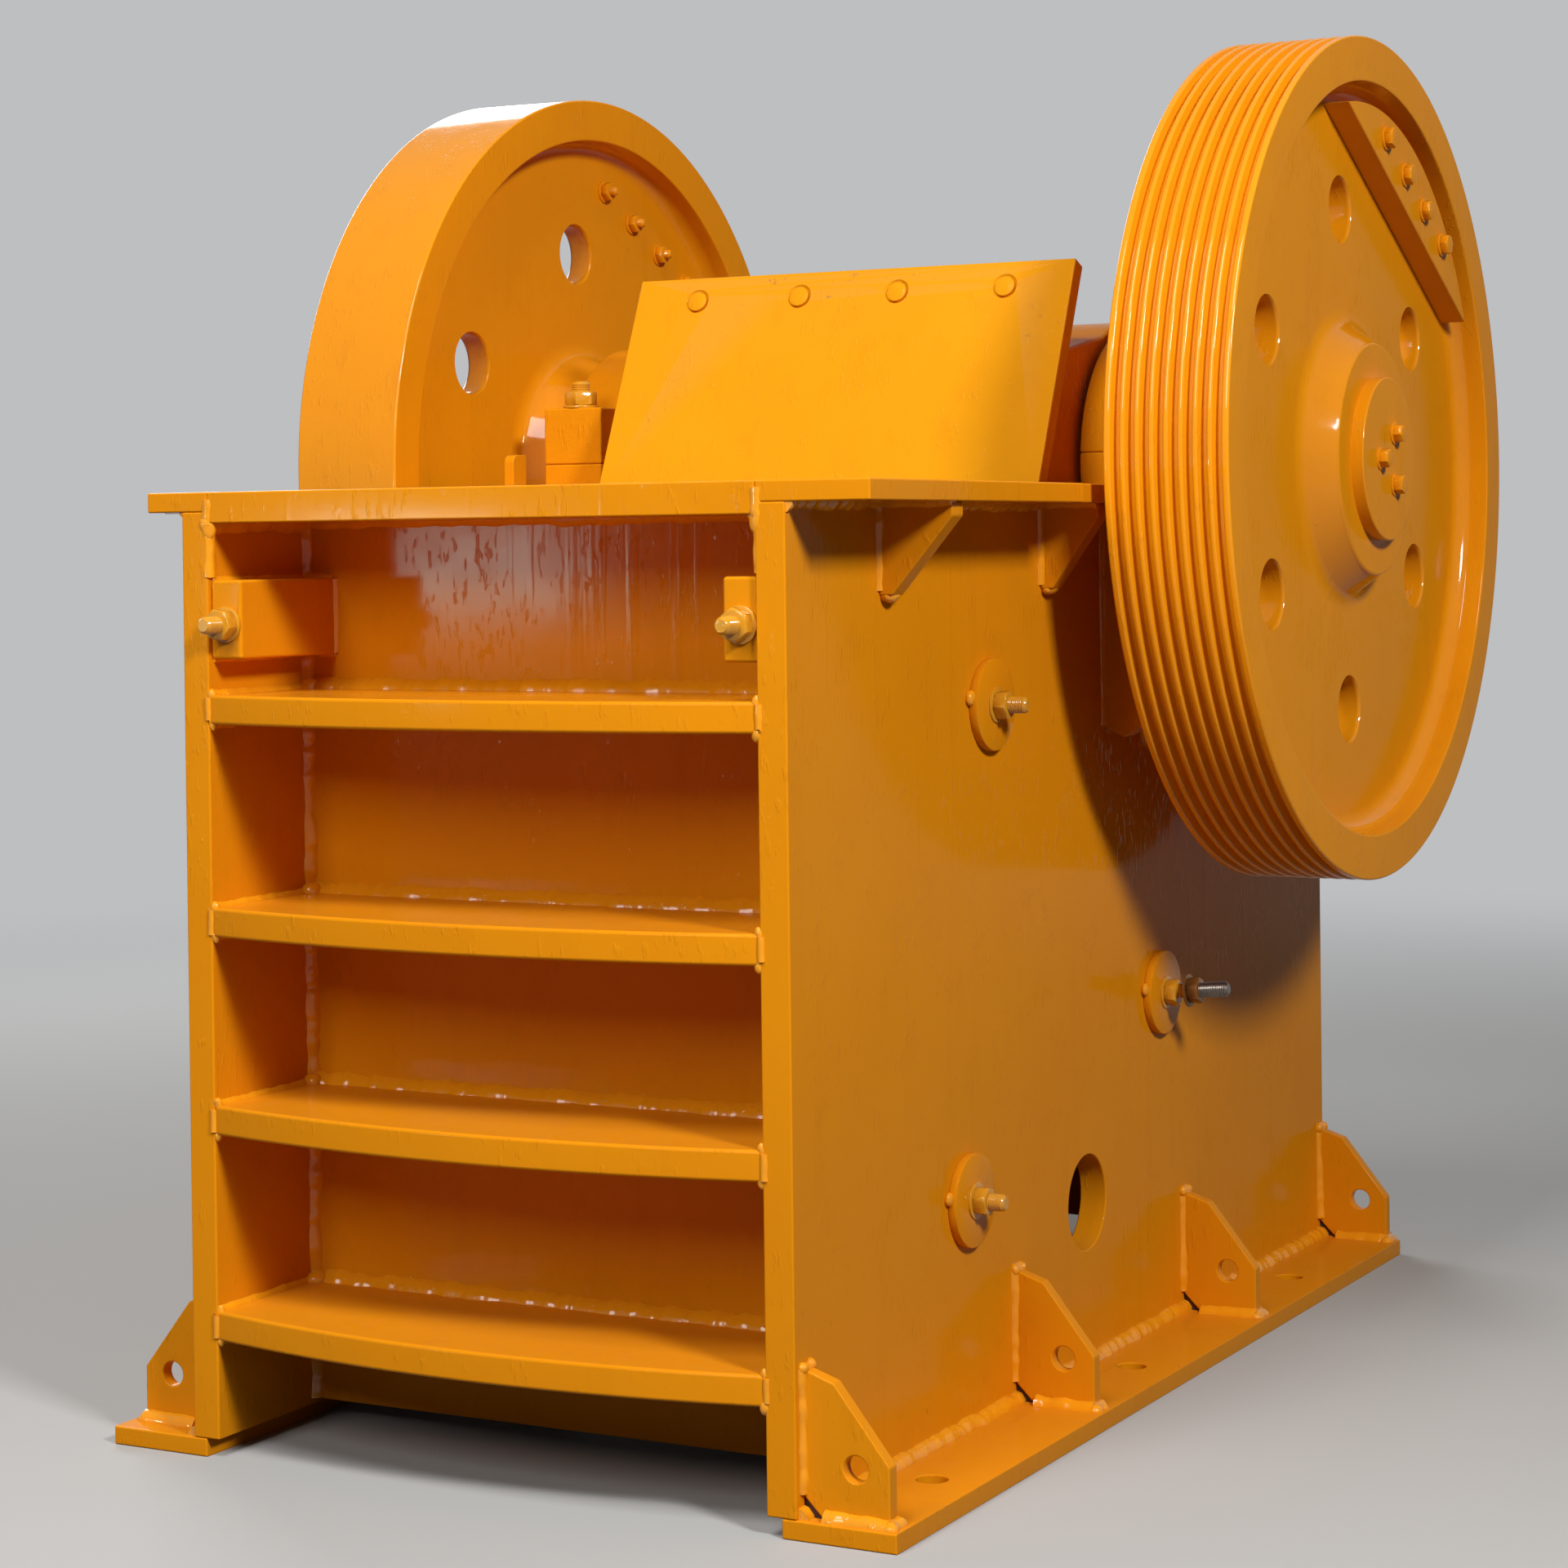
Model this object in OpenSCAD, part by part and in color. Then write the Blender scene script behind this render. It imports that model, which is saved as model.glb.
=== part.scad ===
// Single toggle jaw crusher with a welded plate frame, all lengths in millimetres
// X runs across the machine, Y from the ribbed front to the back, Z up from the ground
// Lengths along the machine are given from the front edges of the side plates

/* [Frame] */
// Width over the outer faces of the two side plates
frame_w = 1100; // [1000:5:1250]
// Thickness of a side plate
side_t = 50; // [30:1:70]
// Length of a side plate from front to back
side_len = 2314; // [2200:1:2450]
// Height of the top of the deck above the ground
deck_z = 1553; // [1450:1:1650]
// Thickness of the side decks
deck_t = 32; // [20:1:45]
// Thickness of the base flanges
flange_t = 30; // [20:1:45]
// How far a base flange stands out from its side plate
flange_out = 163; // [130:1:200]
// How far a base flange reaches in under its side plate
flange_lip = 25; // [5:1:45]
// Distance from the end of the decks to the slope at the back
slope_gap = 40; // [10:5:120]
// Height of the side plates at the back edge
rear_z = 1150; // [1000:10:1400]
// Diameter of the round hole low in each side plate
port_d = 165; // [120:1:200]
// Distance of that hole from the front
port_y = 1089; // [1000:1:1180]
// Height of that hole
port_z = 307; // [280:1:340]

/* [Front wall and ribs] */
// Distance from the front edges back to the face of the front wall
wall_y = 267; // [220:1:320]
// Thickness of the front wall
wall_t = 45; // [30:1:60]
// Height of the bottom of the front wall
wall_z = 38; // [31:1:80]
// Thickness of the plate that closes the top of the front
top_t = 50; // [35:1:60]
// Thickness of a front rib
rib_t = 48; // [35:1:60]
// How far the middle of a rib stands in front of its ends
rib_bow = 60; // [20:1:90]
// Height of the underside of the first rib from the top
rib_1_z = 1180; // [1140:1:1220]
// Height of the underside of the second rib
rib_2_z = 839; // [800:1:880]
// Height of the underside of the third rib
rib_3_z = 521; // [480:1:560]
// Height of the underside of the lowest rib
rib_4_z = 190; // [150:1:230]

/* [Corner blocks] */
// Width of a corner block in the top bay
block_w = 60; // [45:1:80]
// Height of a corner block
block_h = 127; // [100:1:150]
// Distance from the top of the deck down to the underside of a corner block
block_down = 268; // [220:1:310]
// How far a corner block sits behind the front edges
block_y = 8; // [0:1:30]
// Distance of the stud from the inner face of the side plate
block_stud_in = 30; // [22:1:40]
// How far that stud sits below the middle of its block
block_stud_drop = 8; // [0:1:25]
// Diameter of the stud through a corner block
block_stud_d = 28; // [20:2:42]
// How far the stud stands out of a corner block
block_stud_out = 66; // [50:1:67]
// Width across flats of the nut on that stud
block_nut_af = 46; // [30:1:60]
// Thickness of that nut
block_nut_t = 26; // [15:1:35]

/* [Decks and gussets] */
// How far the wide part of a deck stands out from its side plate
deck_out = 140; // [110:1:150]
// Where the wide part of a deck ends
deck_wide_y = 780; // [700:5:850]
// How far the narrow part stands out from its side plate
deck_narrow_out = 122; // [112:1:130]
// How far the front of the left deck stands out from its side plate
deck_front_out = 69; // [50:1:90]
// Length of the narrow front of the left deck
deck_front_len = 130; // [80:5:200]
// How far the decks run on behind the bearing lugs
deck_tail = 32; // [5:1:60]
// How far the bearing seats reach in past the side plates
seat_inset = 42; // [20:1:50]
// Thickness of a deck gusset
deck_gusset_t = 40; // [20:1:60]
// How far a deck gusset stays behind the edge of its deck
deck_gusset_in = 14; // [5:1:40]
// Width of the blunt foot of a deck gusset
deck_gusset_foot = 22; // [10:1:40]
// Height of a deck gusset
deck_gusset_h = 143; // [110:1:180]
// Distance of the first deck gussets from the front
deck_gusset_1_y = 305; // [260:1:400]
// Distance of the second deck gussets from the front
deck_gusset_2_y = 915; // [860:1:960]
// Thickness of a tall rib under a bearing seat
seat_rib_t = 40; // [25:1:60]
// Width of a tall rib under a bearing seat
seat_rib_w = 80; // [60:1:84]
// Height of the pointed foot of a tall rib
seat_rib_z = 1112; // [1080:1:1200]
// Distance from the shaft axis forward to the front tall rib
seat_rib_front = 408; // [340:1:430]
// Distance from the back tall rib to the end of the deck
seat_rib_back = 10; // [0:1:40]

/* [Base gussets and anchor holes] */
// Thickness of a base gusset
base_gusset_t = 25; // [15:1:35]
// Height of a base gusset above the flange
base_gusset_h = 220; // [180:1:260]
// How far a base gusset stays behind the edge of the flange
base_gusset_in = 20; // [0:1:40]
// Height of the upright outer edge of a base gusset
base_gusset_edge = 88; // [60:1:130]
// Distance from the side plate to the upper corner of a base gusset
base_gusset_top = 52; // [30:1:65]
// How far that corner lies below the top of the gusset
base_gusset_fall = 17; // [2:1:30]
// Size of the slant cut over the weld at the foot of a base gusset
base_gusset_cope = 34; // [15:1:36]
// Diameter of the lifting hole in a base gusset
lift_d = 40; // [25:1:50]
// Distance of the lifting hole from the side plate
lift_out = 88; // [70:1:95]
// Height of the lifting hole above the flange
lift_up = 80; // [50:1:100]
// Distance of the first right gusset from the front
base_gusset_y = 20; // [5:1:60]
// Distance between the base gussets
base_gusset_pitch = 755; // [700:1:760]
// Distance of the first left gusset from the front
left_gusset_y = 58; // [5:1:80]
// Distance from the last base gusset to the back edge
base_gusset_end = 4; // [0:1:30]
// Diameter of the anchor holes
anchor_d = 50; // [30:1:60]
// Distance of the anchor holes from the side plate
anchor_out = 80; // [60:1:95]
// Distance of the first anchor holes from the front
anchor_y = 290; // [250:1:330]
// Distance between anchor holes along the machine
anchor_pitch = 797; // [760:1:820]

/* [Side bolts] */
// Diameter of the round washer plates on the side bolts
washer_d = 152; // [120:1:170]
// Thickness of the round washer plates
washer_t = 15; // [10:1:25]
// Diameter of the side bolts
side_bolt_d = 28; // [20:2:42]
// Width across flats of the side bolt nuts
side_nut_af = 42; // [32:1:60]
// How far a side bolt nut stands out from its washer plate
side_nut_t = 25; // [18:1:35]

/* [Wheels] */
// Height of the shaft axis above the top of the deck
axis_up = 47; // [20:1:70]
// Distance of the shaft axis from the front
axis_y = 1588; // [1500:1:1700]
// Diameter of both wheels
wheel_d = 1523; // [1400:1:1600]
// Distance from a side plate to the inner face of a wheel rim
wheel_gap = 154; // [152:1:170]
// Width of a wheel rim
wheel_w = 220; // [180:1:260]
// Diameter inside the wheel rims
rim_in_d = 1360; // [1250:1:1400]
// Size of the hollow corner between a rim and its web
rim_fillet = 34; // [10:1:60]
// Thickness of a wheel web
web_t = 50; // [35:1:80]
// Depth of the shallow side of a wheel
web_depth = 64; // [40:1:80]
// Diameter of the hub at the web
hub_d = 504; // [400:1:560]
// Diameter of the hub face
hub_face_d = 424; // [340:1:460]
// How far a hub reaches in past its rim
hub_reach = 26; // [10:1:27]
// Diameter of the round holes in a wheel web
web_hole_d = 118; // [90:1:140]
// Diameter of the circle of those holes
web_hole_ring = 910; // [820:1:960]
// Number of holes in each wheel web
web_hole_count = 6; // [4:1:8]
// Turn of those holes from the top
web_hole_turn = 1.5; // [0:0.5:20]
// Number of belt grooves
groove_count = 8; // [4:1:10]
// Distance between belt grooves
groove_pitch = 25.5; // [20:0.5:28]
// Width of a belt groove at the rim
groove_w = 17; // [12:0.5:22]
// Width of a belt groove at its bottom
groove_bottom = 8; // [4:0.5:14]
// Depth of a belt groove
groove_depth = 16; // [8:0.5:22]
// Distance from the shaft axis to the straight edge of a counterweight
weight_edge = 517; // [450:1:560]
// Thickness of a counterweight
weight_t = 50; // [30:1:60]
// Direction of the middle of a counterweight, from the back up
weight_turn = 62.3; // [0:0.1:180]
// Diameter of the end plate on each hub
end_plate_d = 296; // [220:1:340]
// Thickness of the end plate on each hub
end_plate_t = 24; // [15:1:35]
// Diameter of the circle of the end plate bolts
end_bolt_ring = 108; // [80:1:160]
// Width across flats of those bolts
end_bolt_af = 30; // [20:1:40]
// Height of those bolt heads
end_bolt_h = 20; // [10:1:30]

/* [Shaft and bearings] */
// How far the middle of the shaft is off its axis
throw = 15; // [8:1:20]
// Diameter of the shaft in the wheels
shaft_d = 220; // [180:1:240]
// Diameter of the shaft in the bearings
journal_d = 240; // [200:1:260]
// Diameter of the off-centre middle of the shaft
throw_d = 300; // [280:1:320]
// Running clearance around the shaft
run_gap = 0.1; // [0.05:0.05:2]
// Gap between a housing and its round seat in the side plate
seat_gap = 1; // [0.5:0.5:4]
// Outer diameter of the bearing housings
housing_d = 512; // [460:1:530]
// How far a housing reaches in past its side plate
housing_inset = 54; // [45:1:60]
// Length of a bearing housing
housing_w = 204; // [160:1:210]
// Height of the joint between a housing and its cap above the shaft axis
split_up = 18; // [0:1:40]
// Height of the bolted lugs above the deck
lug_h = 174; // [140:1:195]
// Distance from the inner face of a side plate to the lugs
lug_from = 22; // [5:1:40]
// Distance from the shaft axis to the end of the lugs
lug_y = 330; // [300:1:345]
// Diameter of the bolts in the lugs
lug_bolt_d = 36; // [24:2:48]
// Distance from those bolts to the end of the lugs
lug_bolt_in = 34; // [30:1:45]
// Gap between a housing and the barrel of the swing jaw
barrel_gap = 12; // [8:1:40]

/* [Jaws] */
// Forward lean of the swing jaw from upright
jaw_lean = 23.5; // [18:0.5:27]
// Distance from the front to the guard plate at deck height
guard_y = 1126; // [1080:1:1180]
// Distance from a side plate to the edge of the guard plate
guard_gap = 46; // [35:1:70]
// Thickness of the guard plate
guard_t = 35; // [20:1:50]
// Height of the top edge of the guard plate above the deck
guard_up = 416; // [350:1:480]
// How far the guard plate reaches below the top of the deck
guard_down = 38; // [10:1:50]
// Diameter of the barrel of the swing jaw
barrel_d = 536; // [500:1:560]
// Height of the top of the front plate of the casting above the shaft axis
jaw_top_up = 200; // [160:5:230]
// Thickness of the front plate of the casting
jaw_front_t = 70; // [50:1:90]
// Thickness of the three ribs of the casting
jaw_rib_t = 60; // [40:1:80]
// Height of the back corner of those ribs
jaw_rib_z = 800; // [740:5:860]
// Distance from the back of the foot to that corner
jaw_rib_back = 344; // [300:1:360]
// Distance from the front to the back of the foot of the swing jaw
foot_y = 896; // [880:1:920]
// Height of the underside of that foot
jaw_low_z = 290; // [270:1:330]
// Height of that foot from its underside to its top
foot_h = 250; // [230:1:260]
// Gap behind the plates that are bolted to the casting
backing_gap = 0.2; // [0.1:0.1:2]
// Thickness of the swing jaw plate without its teeth
jaw_plate_t = 70; // [50:1:90]
// Height of the teeth of both jaw plates
tooth_h = 28; // [15:1:40]
// Number of teeth on each jaw plate
tooth_count = 12; // [8:1:16]
// Gap between the fixed jaw plate and the cheek plates
plate_gap = 4; // [1:1:15]
// Thickness of the fixed jaw plate without its teeth
fixed_plate_t = 62; // [50:1:80]
// Height of the lower end of the fixed jaw plate
fixed_low_z = 250; // [240:1:400]
// Distance from the top of the deck down to the top of the fixed jaw plate
fixed_down = 73; // [55:1:150]
// Thickness of the cheek plates
cheek_t = 30; // [20:1:40]
// Height of the lower edge of the cheek plates
cheek_low_z = 330; // [300:1:400]
// Distance from the front to the lower back corner of a cheek plate
cheek_low_y = 690; // [640:1:720]
// Distance from the front to the upper back corner of a cheek plate
cheek_top_y = 1130; // [1080:1:1150]

/* [Toggle and back] */
// Distance from the front to the toggle beam
beam_y = 1385; // [1340:1:1420]
// Depth of the toggle beam
beam_w = 240; // [160:1:300]
// Height of the underside of the toggle beam
beam_z = 470; // [400:1:520]
// Height of the toggle beam
beam_h = 300; // [240:1:360]
// Depth of the grooves that hold the ends of the toggle plate
groove_in = 30; // [20:1:40]
// Height of the grooves
groove_h = 100; // [80:1:120]
// Height of the seat in the toggle beam above its underside
toggle_head_up = 90; // [70:1:120]
// Height of the seat in the swing jaw above the underside of its foot
toggle_foot_up = 140; // [136:1:180]
// Thickness of the toggle plate
toggle_t = 60; // [40:1:80]
// Width of the toggle plate
toggle_w = 720; // [600:1:860]
// Free distance between toggle plate and swing jaw
toggle_gap = 8; // [6:1:20]
// Thickness of the back wall
back_t = 45; // [30:1:60]
// Height of the lower edge of the back wall
back_low_z = 45; // [30:1:200]
// Height of the underside of the lowest stiffener on the back wall
back_z = 330; // [250:1:420]
// Height of the top of the back wall
back_top_z = 1110; // [1040:5:1140]
// Distance from the back wall to the back edges of the side plates
back_in = 110; // [80:1:160]
// Thickness of the stiffeners on the back wall
stiffener_t = 40; // [25:1:50]
// Height of the middle stiffener
stiffener_z = 690; // [600:5:800]
// Distance from the spring beam to the back edges of the side plates
spring_beam_in = 554; // [540:1:600]
// Height of the spring beam
spring_beam_h = 180; // [150:1:220]
// Thickness of the spring beam
spring_beam_t = 45; // [30:1:60]
// Diameter of the hole for the rod in the spring beam
rod_hole_d = 110; // [90:1:125]
// Diameter of the tension rod
rod_d = 50; // [36:2:60]
// Height of the tension rod above the underside of the foot
rod_up = 55; // [35:1:60]
// Diameter of the tension spring
spring_d = 130; // [128:1:160]
// Length of the tension spring
spring_len = 209; // [150:1:240]
// Thickness of the wall of the tension spring
spring_wall = 18; // [12:1:24]
// Thickness of the plate that presses on the spring
rod_plate_t = 20; // [12:1:30]
// How far the rod stands out behind that plate
rod_tail = 11; // [5:1:40]

/* [Hidden] */

paint = [0.9, 0.58, 0.08];
cast = [0.62, 0.4, 0.12];
steel = [0.55, 0.55, 0.57];
fine = 96;

half_w = frame_w / 2;
inner = half_w - side_t;
axis_z = deck_z + axis_up;
mid_y = (axis_y + wheel_d / 2 - rib_bow) / 2;
under_deck = deck_z - deck_t;
rib_r = (inner * inner + rib_bow * rib_bow) / (2 * rib_bow);
wall_back = wall_y + wall_t;
block_z = deck_z - block_down;
wheel_in = half_w + wheel_gap;
wheel_out = wheel_in + wheel_w;
wheel_r = wheel_d / 2;
rim_in_r = rim_in_d / 2;
pulley_web = wheel_out - web_depth;
flywheel_web = wheel_in + web_depth;
hub_in = wheel_in - hub_reach;
groove_first = (wheel_w - (groove_count - 1) * groove_pitch) / 2;
housing_r = housing_d / 2;
housing_in = inner - housing_inset;
housing_out = housing_in + housing_w;
split_z = axis_z + split_up;
lug_in = inner + lug_from;
lug_z = deck_z + lug_h;
lug_front = axis_y - lug_y;
deck_end_y = axis_y + lug_y + deck_tail;
deck_x = half_w + deck_out;
deck_narrow_x = half_w + deck_narrow_out;
seat_in = inner - seat_inset;
lean_t = tan(jaw_lean);
lean_c = cos(jaw_lean);
guard_z = deck_z + guard_up;
guard_low_z = deck_z - guard_down;
fixed_top_z = deck_z - fixed_down;
jaw_top_z = axis_z + jaw_top_up;
barrel_half = housing_in - barrel_gap;
barrel_r = barrel_d / 2;
foot_top_z = jaw_low_z + foot_h;
jaw_front = guard_t + backing_gap;
throw_y = axis_y + throw;
seat_r = housing_r + seat_gap;
side_bolts = [[700, 1192], [1428, 633], [600, 396]];
side_bolt_nuts = [0, 43, 0];
side_bolt_reach = [72, 136, 68];
toggle_foot = [foot_y - groove_in, jaw_low_z + toggle_foot_up];
toggle_head = [beam_y, beam_z + toggle_head_up];
toggle_tip = 0.3 * toggle_t;
back_y = side_len - back_in;
rod_z = jaw_low_z + rod_up;
spring_beam_y = side_len - spring_beam_in;
spring_y = spring_beam_y + spring_beam_t;
rod_plate_y = spring_y + spring_len + 2 * throw + 1;
rod_end_y = rod_plate_y + rod_plate_t + rod_tail;

// Everything is drawn from the front edges and moved to the middle of the whole here
module placed() {
    translate([0, -mid_y, 0])
        children();
}

module on_left() {
    mirror([1, 0, 0])
        children();
}

// A profile drawn in Y and Z, given thickness along X
module across(x0, x1) {
    translate([x0, 0, 0])
        rotate([90, 0, 90])
            linear_extrude(height = x1 - x0)
                children();
}

// A round bar along X
module bar_x(x0, x1, y, z, d) {
    translate([x0, y, z])
        rotate([0, 90, 0])
            cylinder(h = x1 - x0, d = d, $fn = fine);
}

// A six-sided nut along X
module nut_x(x0, x1, y, z, af) {
    translate([x0, y, z])
        rotate([0, 90, 0])
            cylinder(h = x1 - x0, d = af / cos(30), $fn = 6);
}

module side_plate() {
    color(paint)
        difference() {
            across(inner, half_w)
                polygon([[0, flange_t], [side_len, flange_t], [side_len, rear_z],
                    [deck_end_y + slope_gap, under_deck], [0, under_deck]]);
            bar_x(inner - 5, half_w + 5, port_y, port_z, port_d);
            bar_x(inner - 5, half_w + 5, axis_y, axis_z, 2 * seat_r);
            for (p = side_bolts)
                bar_x(inner - 5, half_w + 5, p[0], p[1], side_bolt_d);
        }
}

module left_side_plate() {
    placed() on_left() side_plate();
}

module right_side_plate() {
    placed() side_plate();
}

module front_wall() {
    color(paint)
        placed()
            translate([-inner, wall_y, wall_z])
                cube([2 * inner, wall_t, deck_z - top_t - wall_z]);
}

module front_top_plate() {
    color(paint)
        placed()
            translate([-inner, 0, deck_z - top_t])
                cube([2 * inner, wall_back, top_t]);
}

// A front rib is a plate between the side plates with a bowed front edge
module front_rib(z) {
    color(paint)
        placed()
            intersection() {
                translate([-inner, -rib_bow - 1, z])
                    cube([2 * inner, wall_y + rib_bow + 1, rib_t]);
                translate([0, rib_r - rib_bow, z - 1])
                    cylinder(h = rib_t + 2, r = rib_r, $fn = 360);
            }
}

module front_rib_1() {
    front_rib(rib_1_z);
}

module front_rib_2() {
    front_rib(rib_2_z);
}

module front_rib_3() {
    front_rib(rib_3_z);
}

module front_rib_4() {
    front_rib(rib_4_z);
}

// The block, its stud and its nut are one piece here
module corner_block() {
    stud_x = inner - block_stud_in;
    stud_z = block_z + block_h / 2 - block_stud_drop;
    color(paint)
        union() {
            translate([inner - block_w, block_y, block_z])
                cube([block_w, wall_y - block_y, block_h]);
            translate([stud_x, block_y + 1, stud_z])
                rotate([90, 0, 0])
                    cylinder(h = block_stud_out + 1, d = block_stud_d, $fn = fine);
            translate([stud_x, block_y + 1, stud_z])
                rotate([90, 0, 0])
                    rotate([0, 0, 30])
                        cylinder(h = block_nut_t + 6, d = block_nut_af / cos(30), $fn = 6);
        }
}

module left_corner_block() {
    placed() on_left() corner_block();
}

module right_corner_block() {
    placed() corner_block();
}

module base_flange() {
    color(paint)
        difference() {
            translate([half_w - flange_lip, 0, 0])
                cube([flange_lip + flange_out, side_len, flange_t]);
            for (i = [0:2])
                translate([half_w + anchor_out, anchor_y + i * anchor_pitch, -1])
                    cylinder(h = flange_t + 2, d = anchor_d, $fn = fine);
        }
}

module left_base_flange() {
    placed() on_left() base_flange();
}

module right_base_flange() {
    placed() base_flange();
}

// One base gusset, standing across the flange with its front face at y
module base_gusset(y) {
    low = flange_t;
    cope = base_gusset_cope;
    out_x = half_w + flange_out - base_gusset_in;
    difference() {
        translate([0, y + base_gusset_t, 0])
            rotate([90, 0, 0])
                linear_extrude(height = base_gusset_t)
                    polygon([[half_w + cope, low], [out_x, low], [out_x, low + base_gusset_edge],
                        [half_w + base_gusset_top, low + base_gusset_h - base_gusset_fall],
                        [half_w, low + base_gusset_h], [half_w, low + cope]]);
        translate([half_w + lift_out, y - 1, low + lift_up])
            rotate([-90, 0, 0])
                cylinder(h = base_gusset_t + 2, d = lift_d, $fn = fine);
    }
}

module base_gusset_row(first) {
    color(paint)
        for (i = [0:2])
            base_gusset(first + i * base_gusset_pitch);
    color(paint)
        base_gusset(side_len - base_gusset_t - base_gusset_end);
}

module left_base_gussets() {
    placed() on_left() base_gusset_row(left_gusset_y);
}

module right_base_gussets() {
    placed() base_gusset_row(base_gusset_y);
}

// A deck lies on its side plate, wide at the front and cut round for the bearing housing
module deck(front_x, front_len) {
    color(paint)
        difference() {
            translate([0, 0, under_deck])
                linear_extrude(height = deck_t)
                    polygon([[inner, 0], [front_x, 0], [front_x, front_len], [deck_x, front_len + 1],
                        [deck_x, deck_wide_y], [deck_narrow_x, deck_wide_y + deck_x - deck_narrow_x],
                        [deck_narrow_x, lug_front - 40], [housing_out + 10, lug_front - 20],
                        [housing_out + 10, deck_end_y], [seat_in, deck_end_y],
                        [seat_in, lug_front - 20], [inner, lug_front - 20]]);
            bar_x(seat_in - 5, deck_x + 5, axis_y, axis_z, 2 * seat_r);
        }
}

module left_deck() {
    placed() on_left() deck(half_w + deck_front_out, deck_front_len);
}

module right_deck() {
    placed() deck(deck_x, 10);
}

// A short gusset under the deck with a slanted outer edge and a blunt foot
module deck_gusset(y, out) {
    translate([0, y + deck_gusset_t, 0])
        rotate([90, 0, 0])
            linear_extrude(height = deck_gusset_t)
                polygon([[half_w, under_deck], [half_w + out, under_deck],
                    [half_w + out, under_deck - 22],
                    [half_w + deck_gusset_foot, under_deck - deck_gusset_h],
                    [half_w, under_deck - deck_gusset_h]]);
}

// A tall rib under a bearing seat with a pointed foot
module seat_rib(y, top) {
    translate([0, y + seat_rib_t, 0])
        rotate([90, 0, 0])
            linear_extrude(height = seat_rib_t)
                polygon([[half_w, top], [half_w + seat_rib_w, top],
                    [half_w + seat_rib_w, seat_rib_z + 24], [half_w + seat_rib_w / 2, seat_rib_z],
                    [half_w, seat_rib_z + 20]]);
}

module deck_gusset_row() {
    color(paint)
        deck_gusset(deck_gusset_1_y, deck_out - deck_gusset_in);
    color(paint)
        deck_gusset(deck_gusset_2_y, deck_narrow_out - deck_gusset_in);
    color(paint)
        seat_rib(axis_y - seat_rib_front, under_deck);
    color(paint)
        seat_rib(axis_y - seat_rib_t / 2, axis_z - housing_r - 1);
    color(paint)
        seat_rib(deck_end_y - seat_rib_back - seat_rib_t, under_deck);
}

module left_deck_gussets() {
    placed() on_left() deck_gusset_row();
}

module right_deck_gussets() {
    placed() deck_gusset_row();
}

// Washer plate, nut and stud of one bolt through a side plate, with a second nut further out on one
module side_bolt(p, nut_2_out, reach) {
    nut_out = half_w + washer_t + side_nut_t;
    color(paint)
        union() {
            bar_x(half_w, half_w + washer_t, p[0], p[1], washer_d);
            nut_x(half_w + washer_t - 1, nut_out, p[0], p[1], side_nut_af);
            if (nut_2_out > 0)
                nut_x(nut_out + nut_2_out - side_nut_t, nut_out + nut_2_out, p[0], p[1], side_nut_af);
            bar_x(inner + 1, half_w + reach, p[0], p[1], side_bolt_d);
        }
}

module side_bolt_set() {
    for (i = [0:2])
        side_bolt(side_bolts[i], side_bolt_nuts[i], side_bolt_reach[i]);
}

module left_side_bolts() {
    placed() on_left() side_bolt_set();
}

module right_side_bolts() {
    placed() side_bolt_set();
}

// The whole bearing housing, cut at the joint into housing and cap
module housing_body() {
    difference() {
        union() {
            bar_x(housing_in, housing_out, axis_y, axis_z, housing_d);
            translate([lug_in, lug_front, deck_z])
                cube([housing_out - lug_in, 2 * lug_y, lug_z - deck_z]);
        }
        bar_x(housing_in - 5, housing_out + 5, axis_y, axis_z, journal_d + 2 * run_gap);
    }
}

module housing_low() {
    color(cast)
        intersection() {
            housing_body();
            translate([housing_in - 10, axis_y - housing_d, axis_z - housing_d])
                cube([housing_w + 20, 2 * housing_d, split_z - axis_z + housing_d]);
        }
}

module housing_cap() {
    color(cast)
        union() {
            intersection() {
                housing_body();
                translate([housing_in - 10, axis_y - housing_d, split_z])
                    cube([housing_w + 20, 2 * housing_d, housing_d]);
            }
            for (s = [-1, 1])
                translate([(lug_in + housing_out) / 2, axis_y + s * (lug_y - lug_bolt_in), lug_z - 1])
                    cylinder(h = 31, d = lug_bolt_d * 1.6, $fn = 6);
        }
}

module left_bearing_housing() {
    placed() on_left() housing_low();
}

module right_bearing_housing() {
    placed() housing_low();
}

module left_bearing_cap() {
    placed() on_left() housing_cap();
}

module right_bearing_cap() {
    placed() housing_cap();
}

// Ridged plate, drawn from above with its flat back on Y = 0 and its teeth towards -Y
module toothed(w, t, h) {
    pitch = w / tooth_count;
    linear_extrude(height = h)
        polygon(concat([[-w / 2, 0]], [for (i = [0:tooth_count - 1]) each [
            [-w / 2 + i * pitch, -t],
            [-w / 2 + (i + 0.32) * pitch, -t - tooth_h],
            [-w / 2 + (i + 0.68) * pitch, -t - tooth_h]]],
            [[w / 2, -t], [w / 2, 0]]));
}

module fixed_jaw_plate() {
    color(steel)
        placed()
            translate([0, wall_back, fixed_low_z])
                rotate([0, 0, 180])
                    toothed(2 * (inner - cheek_t - plate_gap), fixed_plate_t, fixed_top_z - fixed_low_z);
}

module cheek_plate() {
    color(steel)
        across(inner - cheek_t, inner)
            polygon([[wall_back, cheek_low_z], [cheek_low_y, cheek_low_z], [cheek_top_y, fixed_top_z],
                [wall_back, fixed_top_z]]);
}

module left_cheek_plate() {
    placed() on_left() cheek_plate();
}

module right_cheek_plate() {
    placed() cheek_plate();
}

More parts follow.
